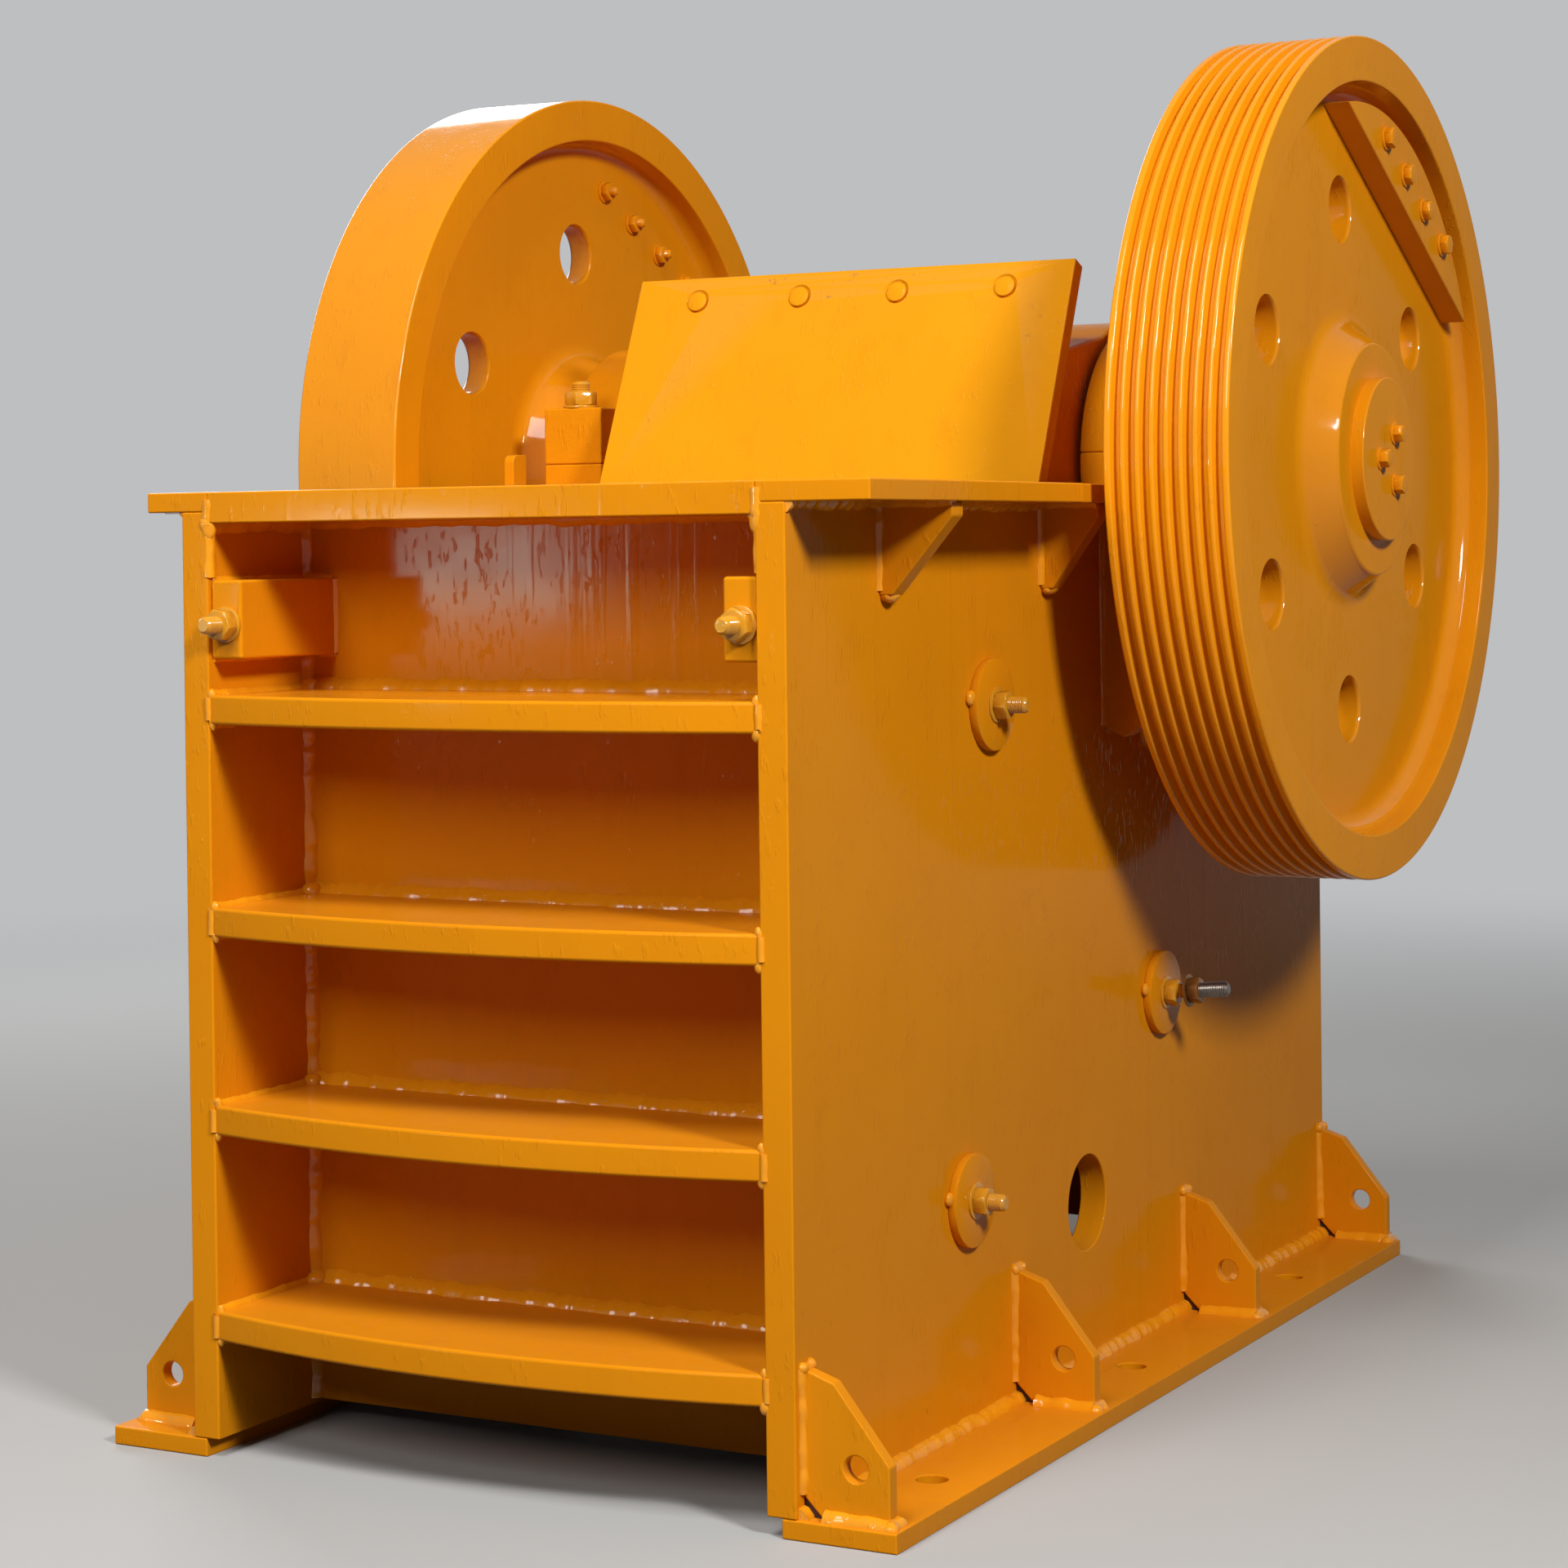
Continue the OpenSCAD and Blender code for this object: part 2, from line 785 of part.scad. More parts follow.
// The back wall carries three flat stiffeners on its outside
module back_wall() {
    color(paint)
        placed()
            union() {
                translate([-inner, back_y, back_low_z])
                    cube([2 * inner, back_t, back_top_z - back_low_z]);
                for (z = [back_z, stiffener_z, back_top_z - stiffener_t])
                    translate([-inner, back_y + back_t - 1, z])
                        cube([2 * inner, back_in - back_t + 1, stiffener_t]);
            }
}

// The beam that carries the toggle plate, with a groove for its end
module toggle_beam() {
    color(cast)
        placed()
            difference() {
                translate([-inner, beam_y, beam_z])
                    cube([2 * inner, beam_w, beam_h]);
                translate([-toggle_w / 2 - 20, beam_y - 1, toggle_head[1] - groove_h / 2])
                    cube([toggle_w + 40, groove_in + 1, groove_h]);
            }
}

// Lower beam in front of the back wall that the tension rod passes through
module spring_beam() {
    color(paint)
        placed()
            difference() {
                translate([-inner, spring_beam_y, rod_z - spring_beam_h / 2])
                    cube([2 * inner, spring_beam_t, spring_beam_h]);
                translate([0, spring_beam_y - 1, rod_z])
                    rotate([-90, 0, 0])
                        cylinder(h = spring_beam_t + 2, d = rod_hole_d, $fn = fine);
            }
}

// The toggle plate rests in the beam and stops just short of the swing jaw
module toggle_plate() {
    color(steel)
        placed()
            across(-toggle_w / 2, toggle_w / 2)
                polygon([[toggle_head[0] + groove_in, toggle_head[1] - toggle_tip],
                    [toggle_head[0] + groove_in, toggle_head[1] + toggle_tip],
                    [toggle_head[0] - toggle_t, toggle_head[1] + 0.4 * toggle_t],
                    [toggle_foot[0] + 1.5 * toggle_t, toggle_foot[1] + 0.87 * toggle_t],
                    [toggle_foot[0] + toggle_gap, toggle_foot[1] + toggle_tip],
                    [toggle_foot[0] + toggle_gap, toggle_foot[1] - toggle_tip],
                    [toggle_foot[0] + 1.5 * toggle_t, toggle_foot[1] - 0.23 * toggle_t],
                    [toggle_head[0] - toggle_t, toggle_head[1] - 0.73 * toggle_t]]);
}

module tension_spring() {
    color(steel)
        placed()
            translate([0, spring_y, rod_z])
                rotate([-90, 0, 0])
                    difference() {
                        cylinder(h = spring_len, d = spring_d, $fn = fine);
                        translate([0, 0, -1])
                            cylinder(h = spring_len + 2, d = spring_d - 2 * spring_wall, $fn = fine);
                    }
}

module eccentric_shaft() {
    color(steel)
        placed()
            union() {
                bar_x(-wheel_out + 3, wheel_out - 3, axis_y, axis_z, shaft_d);
                bar_x(-hub_in, hub_in, axis_y, axis_z, journal_d);
                bar_x(-barrel_half - 2, barrel_half + 2, throw_y, axis_z, throw_d);
            }
}

// Points of one belt groove across the rim, starting at x along the rim
function groove(x) = [[wheel_r, x - groove_w / 2], [wheel_r - groove_depth, x - groove_bottom / 2],
    [wheel_r - groove_depth, x + groove_bottom / 2], [wheel_r, x + groove_w / 2]];

// Rim, web and hub of a wheel as one turned shape about the shaft
module turned_wheel(web_out, grooved) {
    web_in = web_out - web_t;
    rim = grooved
        ? [for (i = [0:groove_count - 1]) each groove(wheel_in + groove_first + i * groove_pitch)]
        : [];
    translate([0, axis_y, axis_z])
        rotate([0, 90, 0])
            rotate_extrude($fn = 180)
                polygon(concat([[shaft_d / 2, hub_in], [hub_face_d / 2 - 5, hub_in],
                    [hub_face_d / 2, hub_in + 5], [hub_d / 2, web_in],
                    [rim_in_r - rim_fillet, web_in], [rim_in_r - 16, web_in - 5],
                    [rim_in_r - 9, web_in - 20], [rim_in_r - 3, wheel_in + 3], [rim_in_r, wheel_in],
                    [wheel_r - 3, wheel_in], [wheel_r, wheel_in + 3]], rim,
                    [[wheel_r, wheel_out - 3], [wheel_r - 3, wheel_out], [rim_in_r, wheel_out],
                    [rim_in_r - 3, wheel_out - 3], [rim_in_r - 9, web_out + 20], [rim_in_r - 16, web_out + 5],
                    [rim_in_r - rim_fillet, web_out], [hub_d / 2, web_out], [hub_face_d / 2, wheel_out - 8],
                    [hub_face_d / 2 - 5, wheel_out - 3], [shaft_d / 2, wheel_out - 3]]));
}

module wheel(web_out, grooved) {
    color(paint)
        difference() {
            turned_wheel(web_out, grooved);
            for (i = [0:web_hole_count - 1])
                translate([0, axis_y, axis_z])
                    rotate([90 + web_hole_turn + i * 360 / web_hole_count, 0, 0])
                        translate([web_out - web_t - 1, web_hole_ring / 2, 0])
                            rotate([0, 90, 0])
                                cylinder(h = web_t + 2, d = web_hole_d, $fn = fine);
        }
}

module pulley() {
    placed() wheel(pulley_web, true);
}

module flywheel() {
    placed() on_left() wheel(flywheel_web + web_t, false);
}

// A counterweight is the part of a disc beyond a straight edge
module counterweight(web_out) {
    color(paint)
        intersection() {
            translate([web_out, axis_y, axis_z])
                rotate([0, 90, 0])
                    cylinder(h = weight_t, d = rim_in_d - 2 * rim_fillet, $fn = 360);
            translate([0, axis_y, axis_z])
                rotate([weight_turn, 0, 0])
                    translate([0, weight_edge, -wheel_r])
                        cube([2 * wheel_out, wheel_r, wheel_d]);
        }
}

module pulley_counterweight() {
    placed() counterweight(pulley_web);
}

module flywheel_counterweight() {
    placed() on_left() counterweight(flywheel_web + web_t);
}

module end_plate() {
    color(paint)
        union() {
            bar_x(wheel_out - 3, wheel_out - 3 + end_plate_t, axis_y, axis_z, end_plate_d);
            for (a = [60, 180, 300])
                nut_x(wheel_out - 4 + end_plate_t, wheel_out - 3 + end_plate_t + end_bolt_h,
                    axis_y + end_bolt_ring / 2 * cos(a), axis_z + end_bolt_ring / 2 * sin(a), end_bolt_af);
        }
}

module pulley_end_plate() {
    placed() end_plate();
}

module flywheel_end_plate() {
    placed() on_left() end_plate();
}

// Distance of the leaning front face of the swing jaw casting at height z
function lean_y(z, off) = guard_y + off / lean_c + (z - deck_z) * lean_t;

module jaw_side() {
    polygon([[lean_y(jaw_low_z, jaw_front), jaw_low_z], [lean_y(jaw_top_z, jaw_front), jaw_top_z],
        [throw_y - 0.22 * barrel_r, axis_z + 0.93 * barrel_r],
        [throw_y + 0.89 * barrel_r, axis_z - 0.37 * barrel_r],
        [foot_y + jaw_rib_back, jaw_rib_z], [foot_y + 44, foot_top_z], [foot_y, foot_top_z],
        [foot_y, jaw_low_z]]);
}

// The casting has a front plate, three ribs, the barrel and a heavy foot
module swing_jaw() {
    color(cast)
        placed()
            difference() {
                union() {
                    across(-barrel_half, barrel_half)
                        polygon([[lean_y(jaw_low_z, jaw_front), jaw_low_z],
                            [lean_y(jaw_top_z, jaw_front), jaw_top_z],
                            [lean_y(jaw_top_z, jaw_front + jaw_front_t), jaw_top_z],
                            [lean_y(foot_top_z + 0.4 * foot_h, jaw_front + jaw_front_t),
                                foot_top_z + 0.4 * foot_h],
                            [foot_y + 44, foot_top_z + 20], [foot_y, foot_top_z], [foot_y, jaw_low_z]]);
                    for (x = [-barrel_half, -jaw_rib_t / 2, barrel_half - jaw_rib_t])
                        across(x, x + jaw_rib_t)
                            jaw_side();
                    bar_x(-barrel_half, barrel_half, throw_y, axis_z, barrel_d);
                }
                bar_x(-barrel_half - 5, barrel_half + 5, throw_y, axis_z, throw_d + 2 * run_gap);
                translate([-toggle_w / 2 - 25, foot_y - groove_in, toggle_foot[1] - groove_h / 2])
                    cube([toggle_w + 50, groove_in + 1, groove_h]);
            }
}

module swing_jaw_plate() {
    top = guard_low_z - 15;
    span = (top - jaw_low_z) / lean_c;
    color(steel)
        placed()
            translate([0, lean_y(jaw_low_z, guard_t), jaw_low_z])
                rotate([-jaw_lean, 0, 0])
                    toothed(2 * barrel_half, jaw_plate_t, span);
}

module guard_plate() {
    guard_len = (guard_z - guard_t * sin(jaw_lean) - guard_low_z) / lean_c;
    color(paint)
        placed()
            translate([guard_gap - inner, lean_y(guard_low_z, guard_t), guard_low_z])
                rotate([-jaw_lean, 0, 0])
                    translate([0, -guard_t, 0])
                        cube([2 * (inner - guard_gap), guard_t, guard_len]);
}

module tension_rod() {
    color(steel)
        placed()
            union() {
                translate([0, foot_y, rod_z])
                    rotate([-90, 0, 0])
                        cylinder(h = rod_end_y - foot_y, d = rod_d, $fn = fine);
                translate([0, rod_plate_y, rod_z])
                    rotate([-90, 0, 0])
                        cylinder(h = rod_plate_t, d = spring_d, $fn = fine);
            }
}

left_side_plate();
right_side_plate();
front_wall();
front_top_plate();
front_rib_1();
front_rib_2();
front_rib_3();
front_rib_4();
left_corner_block();
right_corner_block();
left_base_flange();
right_base_flange();
left_base_gussets();
right_base_gussets();
left_deck();
right_deck();
left_deck_gussets();
right_deck_gussets();
left_side_bolts();
right_side_bolts();
left_bearing_housing();
right_bearing_housing();
left_bearing_cap();
right_bearing_cap();
fixed_jaw_plate();
left_cheek_plate();
right_cheek_plate();
back_wall();
toggle_beam();
spring_beam();
toggle_plate();
tension_spring();
eccentric_shaft();
pulley();
flywheel();
pulley_counterweight();
flywheel_counterweight();
pulley_end_plate();
flywheel_end_plate();
swing_jaw();
swing_jaw_plate();
guard_plate();
tension_rod();
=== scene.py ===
import math
import time

import bpy
from mathutils import Matrix, Vector


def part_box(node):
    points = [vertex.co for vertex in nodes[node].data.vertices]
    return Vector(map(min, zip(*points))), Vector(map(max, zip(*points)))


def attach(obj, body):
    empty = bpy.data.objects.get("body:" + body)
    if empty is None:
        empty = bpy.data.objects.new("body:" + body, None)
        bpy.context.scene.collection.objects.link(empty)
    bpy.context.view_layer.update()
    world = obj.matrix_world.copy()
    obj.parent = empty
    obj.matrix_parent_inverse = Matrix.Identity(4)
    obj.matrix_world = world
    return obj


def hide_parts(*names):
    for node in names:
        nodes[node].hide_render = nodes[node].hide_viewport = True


started = time.time()
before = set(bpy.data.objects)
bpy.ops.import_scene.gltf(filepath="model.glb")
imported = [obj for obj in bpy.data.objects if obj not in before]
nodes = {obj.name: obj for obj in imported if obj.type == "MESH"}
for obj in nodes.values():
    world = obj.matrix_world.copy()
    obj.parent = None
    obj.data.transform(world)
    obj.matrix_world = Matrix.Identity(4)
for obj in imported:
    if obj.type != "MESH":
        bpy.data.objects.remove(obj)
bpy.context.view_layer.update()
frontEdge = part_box("right_side_plate")[0].y  # the frame's front edge, where lengths along it start


# General helpers for modelling by hand. Lengths are in millimetres from the middle line, the frame's front
# edges and the ground, as a shop drawing gives them

bothSides = ((-1, "left"), (1, "right"))


def sayDone(stage):
    print(stage, round(time.time() - started, 1))


def at(across, along, up):
    return Vector((across / 1000, along / 1000 + frontEdge, up / 1000))


def onSide(side, spot):
    # a spot or direction as it is on the right (1), or mirrored to the left (-1)
    return side * spot[0], spot[1], spot[2]


def startClean():
    if bpy.context.object and bpy.context.object.mode != "OBJECT":
        bpy.ops.object.mode_set(mode="OBJECT")
    bpy.ops.object.select_all(action="DESELECT")


def pick(obj):
    startClean()
    obj.select_set(True)
    bpy.context.view_layer.objects.active = obj
    return obj


def edit(obj):
    pick(obj)
    bpy.ops.object.mode_set(mode="EDIT")
    bpy.ops.mesh.select_all(action="SELECT")


def done():
    bpy.ops.object.mode_set(mode="OBJECT")


def editOnly(obj, kind, chosen):
    # edit mode with just the chosen vertices or edges selected
    edit(obj)
    bpy.ops.mesh.select_all(action="DESELECT")
    done()
    for part in getattr(obj.data, kind):
        part.select = chosen(part)
    bpy.ops.object.mode_set(mode="EDIT")


def setPlace(obj):
    bpy.ops.object.transform_apply(location=True, rotation=True, scale=True)
    return obj


def addModifier(obj, kind, **values):
    pick(obj)
    bpy.ops.object.modifier_add(type=kind)
    modifier = obj.modifiers[-1]
    for key, value in values.items():
        setattr(modifier, key, value)
    bpy.ops.object.modifier_apply(modifier=modifier.name)


def roundEdges(obj, width, steps=2, angle=32):
    addModifier(obj, "BEVEL", limit_method="ANGLE", angle_limit=math.radians(angle), width=width / 1000,
                segments=steps, use_clamp_overlap=False)
    return obj


def smoothFaces(obj, angle=48, weighted=True):
    pick(obj)
    bpy.ops.object.shade_smooth_by_angle(angle=math.radians(angle), keep_sharp_edges=False)
    if weighted:
        addModifier(obj, "WEIGHTED_NORMAL", keep_sharp=True)
    return obj


def addBlock(name, low, high):
    startClean()
    low, high = at(*low), at(*high)
    bpy.ops.mesh.primitive_cube_add(size=1, location=(low + high) / 2, scale=high - low)
    obj = bpy.context.object
    obj.name = name
    return setPlace(obj)


def turned(name, profile, steps=48):
    # a closed turned piece from points (along the axis, radius)
    startClean()
    bpy.ops.mesh.primitive_plane_add(size=0.01, location=(0, 0, 0))
    obj = bpy.context.object
    obj.name = name
    edit(obj)
    bpy.ops.mesh.merge(type="CENTER")
    last = Vector((profile[0][1], 0, profile[0][0])) / 1000
    bpy.ops.transform.translate(value=last)
    for along, radius in profile[1:]:
        new = Vector((radius, 0, along)) / 1000
        bpy.ops.mesh.extrude_vertices_move(TRANSFORM_OT_translate={"value": new - last})
        last = new
    bpy.ops.mesh.select_all(action="SELECT")
    bpy.ops.mesh.spin(steps=steps, angle=2 * math.pi, center=(0, 0, 0), axis=(0, 0, 1))
    bpy.ops.mesh.select_all(action="SELECT")
    bpy.ops.mesh.remove_doubles(threshold=0.00001)
    bpy.ops.mesh.normals_make_consistent(inside=False)
    done()
    return obj


def aimed(place, direction, turn=0):
    swing = Vector((0, 0, 1)).rotation_difference(Vector(direction)).to_matrix().to_4x4()
    return Matrix.Translation(place) @ swing @ Matrix.Rotation(math.radians(turn), 4, "Z")


def moveTo(obj, place, direction, turn=0):
    pick(obj)
    obj.matrix_world = aimed(place, direction, turn)
    return setPlace(obj)


def addCopy(name, mesh):
    startClean()
    obj = bpy.data.objects.new(name, mesh.copy())
    bpy.context.scene.collection.objects.link(obj)
    return obj


def copyTo(model, name, place, direction, turn=0):
    return moveTo(addCopy(name, model.data), place, direction, turn)


def joinAll(parts, name):
    startClean()
    for part in parts:
        part.select_set(True)
    bpy.context.view_layer.objects.active = parts[0]
    if len(parts) > 1:
        bpy.ops.object.join()
    parts[0].name = name
    return parts[0]


def cutBy(obj, tool, operation="DIFFERENCE"):
    addModifier(obj, "BOOLEAN", operation=operation, object=tool, solver="EXACT")
    bpy.data.objects.remove(tool)
    return obj


def dress(obj, paint, body, slotName, *replaced):
    obj.data.materials.clear()
    obj.data.materials.append(paint)
    for face in obj.data.polygons:
        face.material_index = 0
    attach(obj, body)
    if replaced:
        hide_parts(*replaced)
    return obj


def arc(middle, radius, first, last, steps):
    # points (along, radius) of a quarter round in a turned profile
    angles = [math.radians(first + (last - first) * i / steps) for i in range(steps + 1)]
    return [(middle[0] + radius * math.cos(a), middle[1] + radius * math.sin(a)) for a in angles]


# Shader helpers. A value that goes into a socket is another socket or a plain number or colour

def feed(tree, socket, value):
    if isinstance(value, bpy.types.NodeSocket):
        tree.links.new(value, socket)
    else:
        socket.default_value = value


def addNode(tree, kind, sockets={}, **settings):
    node = tree.nodes.new("ShaderNode" + kind)
    for key, value in settings.items():
        setattr(node, key, value)
    for key, value in sockets.items():
        feed(tree, node.inputs[key], value)
    return node


def mixColours(tree, amount, first, second):
    return addNode(tree, "Mix", {0: amount, 6: first, 7: second}, data_type="RGBA").outputs[2]


def ranged(tree, value, low, high, toLow, toHigh, **settings):
    sockets = {"Value": value, "From Min": low, "From Max": high, "To Min": toLow, "To Max": toHigh}
    return addNode(tree, "MapRange", sockets, clamp=True, **settings).outputs["Result"]


def calc(tree, operation, result, *others):
    for other in others:
        result = addNode(tree, "Math", {0: result, 1: other}, operation=operation).outputs["Value"]
    return result


def noise(tree, place, scale, detail=2, rough=0.5):
    sockets = {"Vector": place, "Scale": scale, "Detail": detail, "Roughness": rough}
    return addNode(tree, "TexNoise", sockets).outputs["Fac"]


def stretched(tree, place, scale):
    return addNode(tree, "Mapping", {"Vector": place, "Scale": scale}).outputs["Vector"]


def newMaterial(name, constants):
    skin = bpy.data.materials.new(name)
    skin.use_nodes = True
    shader = skin.node_tree.nodes["Principled BSDF"]
    for key, value in constants.items():
        shader.inputs[key].default_value = value
    return skin, skin.node_tree, shader


# Camera at the photograph's place, with the machine's middle line as X = 0

cameraSet = {
    "place": (2.9135, -5.5659, 1.4588),
    "turn": 28.150,
    "down": 0.628,
    "roll": -0.689,
    "lens": 78.947,
    "shiftUp": -0.129,
}


def addCamera():
    bpy.ops.object.camera_add(location=(0, 0, 0))
    camera = bpy.context.object
    camera.name = "photoCamera"
    turn = Matrix.Rotation(math.radians(cameraSet["turn"]), 4, "Z")
    tilt = Matrix.Rotation(math.radians(90 - cameraSet["down"]), 4, "X")
    roll = Matrix.Rotation(math.radians(cameraSet["roll"]), 4, "Z")
    camera.matrix_world = Matrix.Translation(cameraSet["place"]) @ turn @ tilt @ roll
    camera.data.lens = cameraSet["lens"]
    camera.data.sensor_width = 36
    camera.data.shift_y = cameraSet["shiftUp"]
    camera.data.clip_end = 200
    bpy.context.scene.camera = camera


# Floor, world and lamps

studioSet = {
    "floorColour": (0.42, 0.42, 0.41, 1),
    "floorBounce": (0.12, 0.12, 0.115, 1),
    "floorRadius": 40,
    "fadeFrom": 3.0,
    "fadeTo": 8.5,
    "paleColour": (0.51, 0.52, 0.53, 1),
    "worldLevel": 0.09,
}

lampSet = [
    {"name": "keyLamp", "place": (5.6, -3.7, 4.9), "aim": (0, -0.3, 1.0), "size": (1.1, 1.1), "power": 450},
    {"name": "frontLamp", "place": (-0.6, -7.4, 4.6), "aim": (0, -0.6, 1.0), "size": (2.4, 2.6),
     "power": 205},
    {"name": "topLamp", "place": (0.2, -4.6, 6.8), "aim": (0, -0.4, 1.0), "size": (2.8, 2.4), "power": 310},
    {"name": "windowLamp", "place": (-4.28, -7.2, 1.38), "aim": (-0.1, -0.9, 1.4), "size": (0.66, 0.34),
     "power": 62, "colour": (0.62, 0.95, 0.82), "onlyReflected": True},
    {"name": "backLamp", "place": (-5.4, 4.3, 4.3), "aim": (0, 0.6, 1.2), "size": (4.0, 3.4), "power": 310},
]


def seenStrength(tree, low):
    # full for what the camera and reflections see, and low where it would only light the object
    path = addNode(tree, "LightPath").outputs
    seen = calc(tree, "MAXIMUM", path["Is Camera Ray"], path["Is Glossy Ray"], path["Is Transmission Ray"])
    return ranged(tree, seen, 0, 1, low, 1)


def addFloor():
    # painted in the middle, and fading into the glow of the world farther out
    put = studioSet
    startClean()
    bpy.ops.mesh.primitive_circle_add(vertices=128, radius=put["floorRadius"], fill_type="NGON")
    floor = bpy.context.object
    floor.name = "studioFloor"
    paint, tree, shader = newMaterial("floorPaint", {"Roughness": 0.9, "Specular IOR Level": 0.1})
    colour = mixColours(tree, seenStrength(tree, 0), put["floorBounce"], put["floorColour"])
    feed(tree, shader.inputs["Base Color"], colour)
    spot = addNode(tree, "TexCoord").outputs["Object"]
    length = addNode(tree, "VectorMath", {0: spot}, operation="LENGTH").outputs["Value"]
    fade = ranged(tree, length, put["fadeFrom"], put["fadeTo"], 0, 1, interpolation_type="SMOOTHSTEP")
    level = seenStrength(tree, put["worldLevel"])
    glow = addNode(tree, "Emission", {"Color": put["paleColour"], "Strength": level})
    mix = addNode(tree, "MixShader", {0: fade, 1: shader.outputs["BSDF"], 2: glow.outputs["Emission"]})
    feed(tree, tree.nodes["Material Output"].inputs["Surface"], mix.outputs["Shader"])
    floor.data.materials.append(paint)


def addWorld():
    world = bpy.data.worlds.new("studioWorld")
    world.use_nodes = True
    tree = world.node_tree
    sky = tree.nodes["Background"]
    feed(tree, sky.inputs["Color"], studioSet["paleColour"])
    feed(tree, sky.inputs["Strength"], seenStrength(tree, studioSet["worldLevel"]))
    bpy.context.scene.world = world
    bpy.context.scene.view_settings.view_transform = "Standard"


def addLamps():
    for lamp in lampSet:
        bpy.ops.object.light_add(type="AREA", location=lamp["place"])
        light = bpy.context.object
        light.name = lamp["name"]
        light.data.shape = "RECTANGLE"
        light.data.size, light.data.size_y = lamp["size"]
        light.data.energy = lamp["power"]
        light.data.color = lamp.get("colour", (1, 1, 1))
        light.visible_camera = False
        light.visible_diffuse = not lamp.get("onlyReflected", False)
        look = Vector(lamp["aim"]) - Vector(lamp["place"])
        light.rotation_euler = look.to_track_quat("-Z", "Y").to_euler()


# Finishes: paint film, edge wear, rust and cast skin as shared groups, shaders in each material

filmSet = {
    "dustColour": (0.42, 0.33, 0.22, 1),
    "rustColour": (0.15, 0.045, 0.012, 1),
    "wornColour": (0.17, 0.085, 0.05, 1),
    "bareColour": (0.36, 0.35, 0.34, 1),
    "clean": (0.09, 0.15),
    "runStretch": (26, 26, 1.6),
    "tearStretch": (120, 120, 34),
    "rustStretch": (1, 1, 0.45),
}


def newGroup(name, takes, gives):
    # a node group with its tree, what comes in and what goes out
    tree = bpy.data.node_groups.new(name, "ShaderNodeTree")
    inside = tree.nodes.new("NodeGroupInput")
    outside = tree.nodes.new("NodeGroupOutput")
    for key, value in takes.items():
        kind = "NodeSocketColor" if isinstance(value, tuple) else "NodeSocketFloat"
        tree.interface.new_socket(name=key, in_out="INPUT", socket_type=kind).default_value = value
    for key in gives:
        kind = "NodeSocketColor" if key == "Colour" else "NodeSocketFloat"
        tree.interface.new_socket(name=key, in_out="OUTPUT", socket_type=kind)
    return tree, inside.outputs, outside.inputs


def makePaintFilm():
    # colour, gloss and skin of thick sprayed enamel: cloudy patches, faint runs, dust on what faces up
    takes = {"Paint": (0.76, 0.25, 0.005, 1), "Deep": (0.52, 0.13, 0.003, 1), "Dust": 0.12, "Skin": 1.0}
    tree, inside, outside = newGroup("paintFilm", takes, ("Colour", "Roughness", "Height"))
    spot = addNode(tree, "TexCoord").outputs
    place = spot["Object"]
    cloud = noise(tree, place, 1.7, 4, 0.6)
    patch = noise(tree, place, 11, 4, 0.6)
    runs = noise(tree, stretched(tree, place, filmSet["runStretch"]), 1, 3)
    colour = inside["Paint"]
    fields = ((cloud, 0.35, 0.75, 0.16), (patch, 0.52, 0.80, 0.10), (runs, 0.58, 0.72, 0.07))
    for field, low, high, most in fields:
        colour = mixColours(tree, ranged(tree, field, low, high, 0, most), colour, inside["Deep"])
    split = addNode(tree, "SeparateXYZ", {0: spot["Normal"]})
    facing = ranged(tree, split.outputs["Z"], 0.75, 0.98, 0, 1)
    specks = ranged(tree, noise(tree, place, 38, 5, 0.7), 0.42, 0.72, 0.25, 1)
    dust = calc(tree, "MULTIPLY", facing, specks, inside["Dust"])
    feed(tree, outside["Colour"], mixColours(tree, dust, colour, filmSet["dustColour"]))
    gloss = ranged(tree, patch, 0.3, 0.7, *filmSet["clean"])
    feed(tree, outside["Roughness"], calc(tree, "ADD", gloss, calc(tree, "MULTIPLY", dust, 0.9)))
    peel = calc(tree, "MULTIPLY", noise(tree, place, 210, 1, 0.4), 0.04)
    wave = calc(tree, "MULTIPLY", noise(tree, place, 24, 1), 0.10)
    swell = calc(tree, "MULTIPLY", noise(tree, place, 5, 1), 1.3)
    tears = ranged(tree, noise(tree, stretched(tree, place, filmSet["tearStretch"]), 1), 0.58, 0.67, 0, 1)
    tears = calc(tree, "MULTIPLY", tears, ranged(tree, patch, 0.45, 0.58, 0, 1))
    drips = calc(tree, "ADD", ranged(tree, runs, 0.55, 0.75, 0, 0.5), tears)
    drips = calc(tree, "MULTIPLY", drips, calc(tree, "SUBTRACT", 1.0, facing))
    height = calc(tree, "ADD", peel, wave, swell, drips)
    feed(tree, outside["Height"], calc(tree, "MULTIPLY", height, inside["Skin"]))
    return tree


def makeEdgeWear():
    # mask of rubbed edges and small chips, from how sharply the surface turns
    tree, inside, outside = newGroup("edgeWear", {"From": 0.56, "Amount": 0.5}, ("Wear", "Edge"))
    place = addNode(tree, "TexCoord").outputs["Object"]
    sharp = addNode(tree, "NewGeometry").outputs["Pointiness"]
    edge = ranged(tree, sharp, inside["From"], calc(tree, "ADD", inside["From"], 0.05), 0, 1)
    chips = ranged(tree, noise(tree, place, 55, 5, 0.75), 0.60, 0.66, 0, 1)
    rubbed = ranged(tree, noise(tree, place, 6), 0.45, 0.7, 0.2, 1)
    feed(tree, outside["Wear"], calc(tree, "MULTIPLY", edge, chips, rubbed, inside["Amount"]))
    feed(tree, outside["Edge"], edge)
    return tree


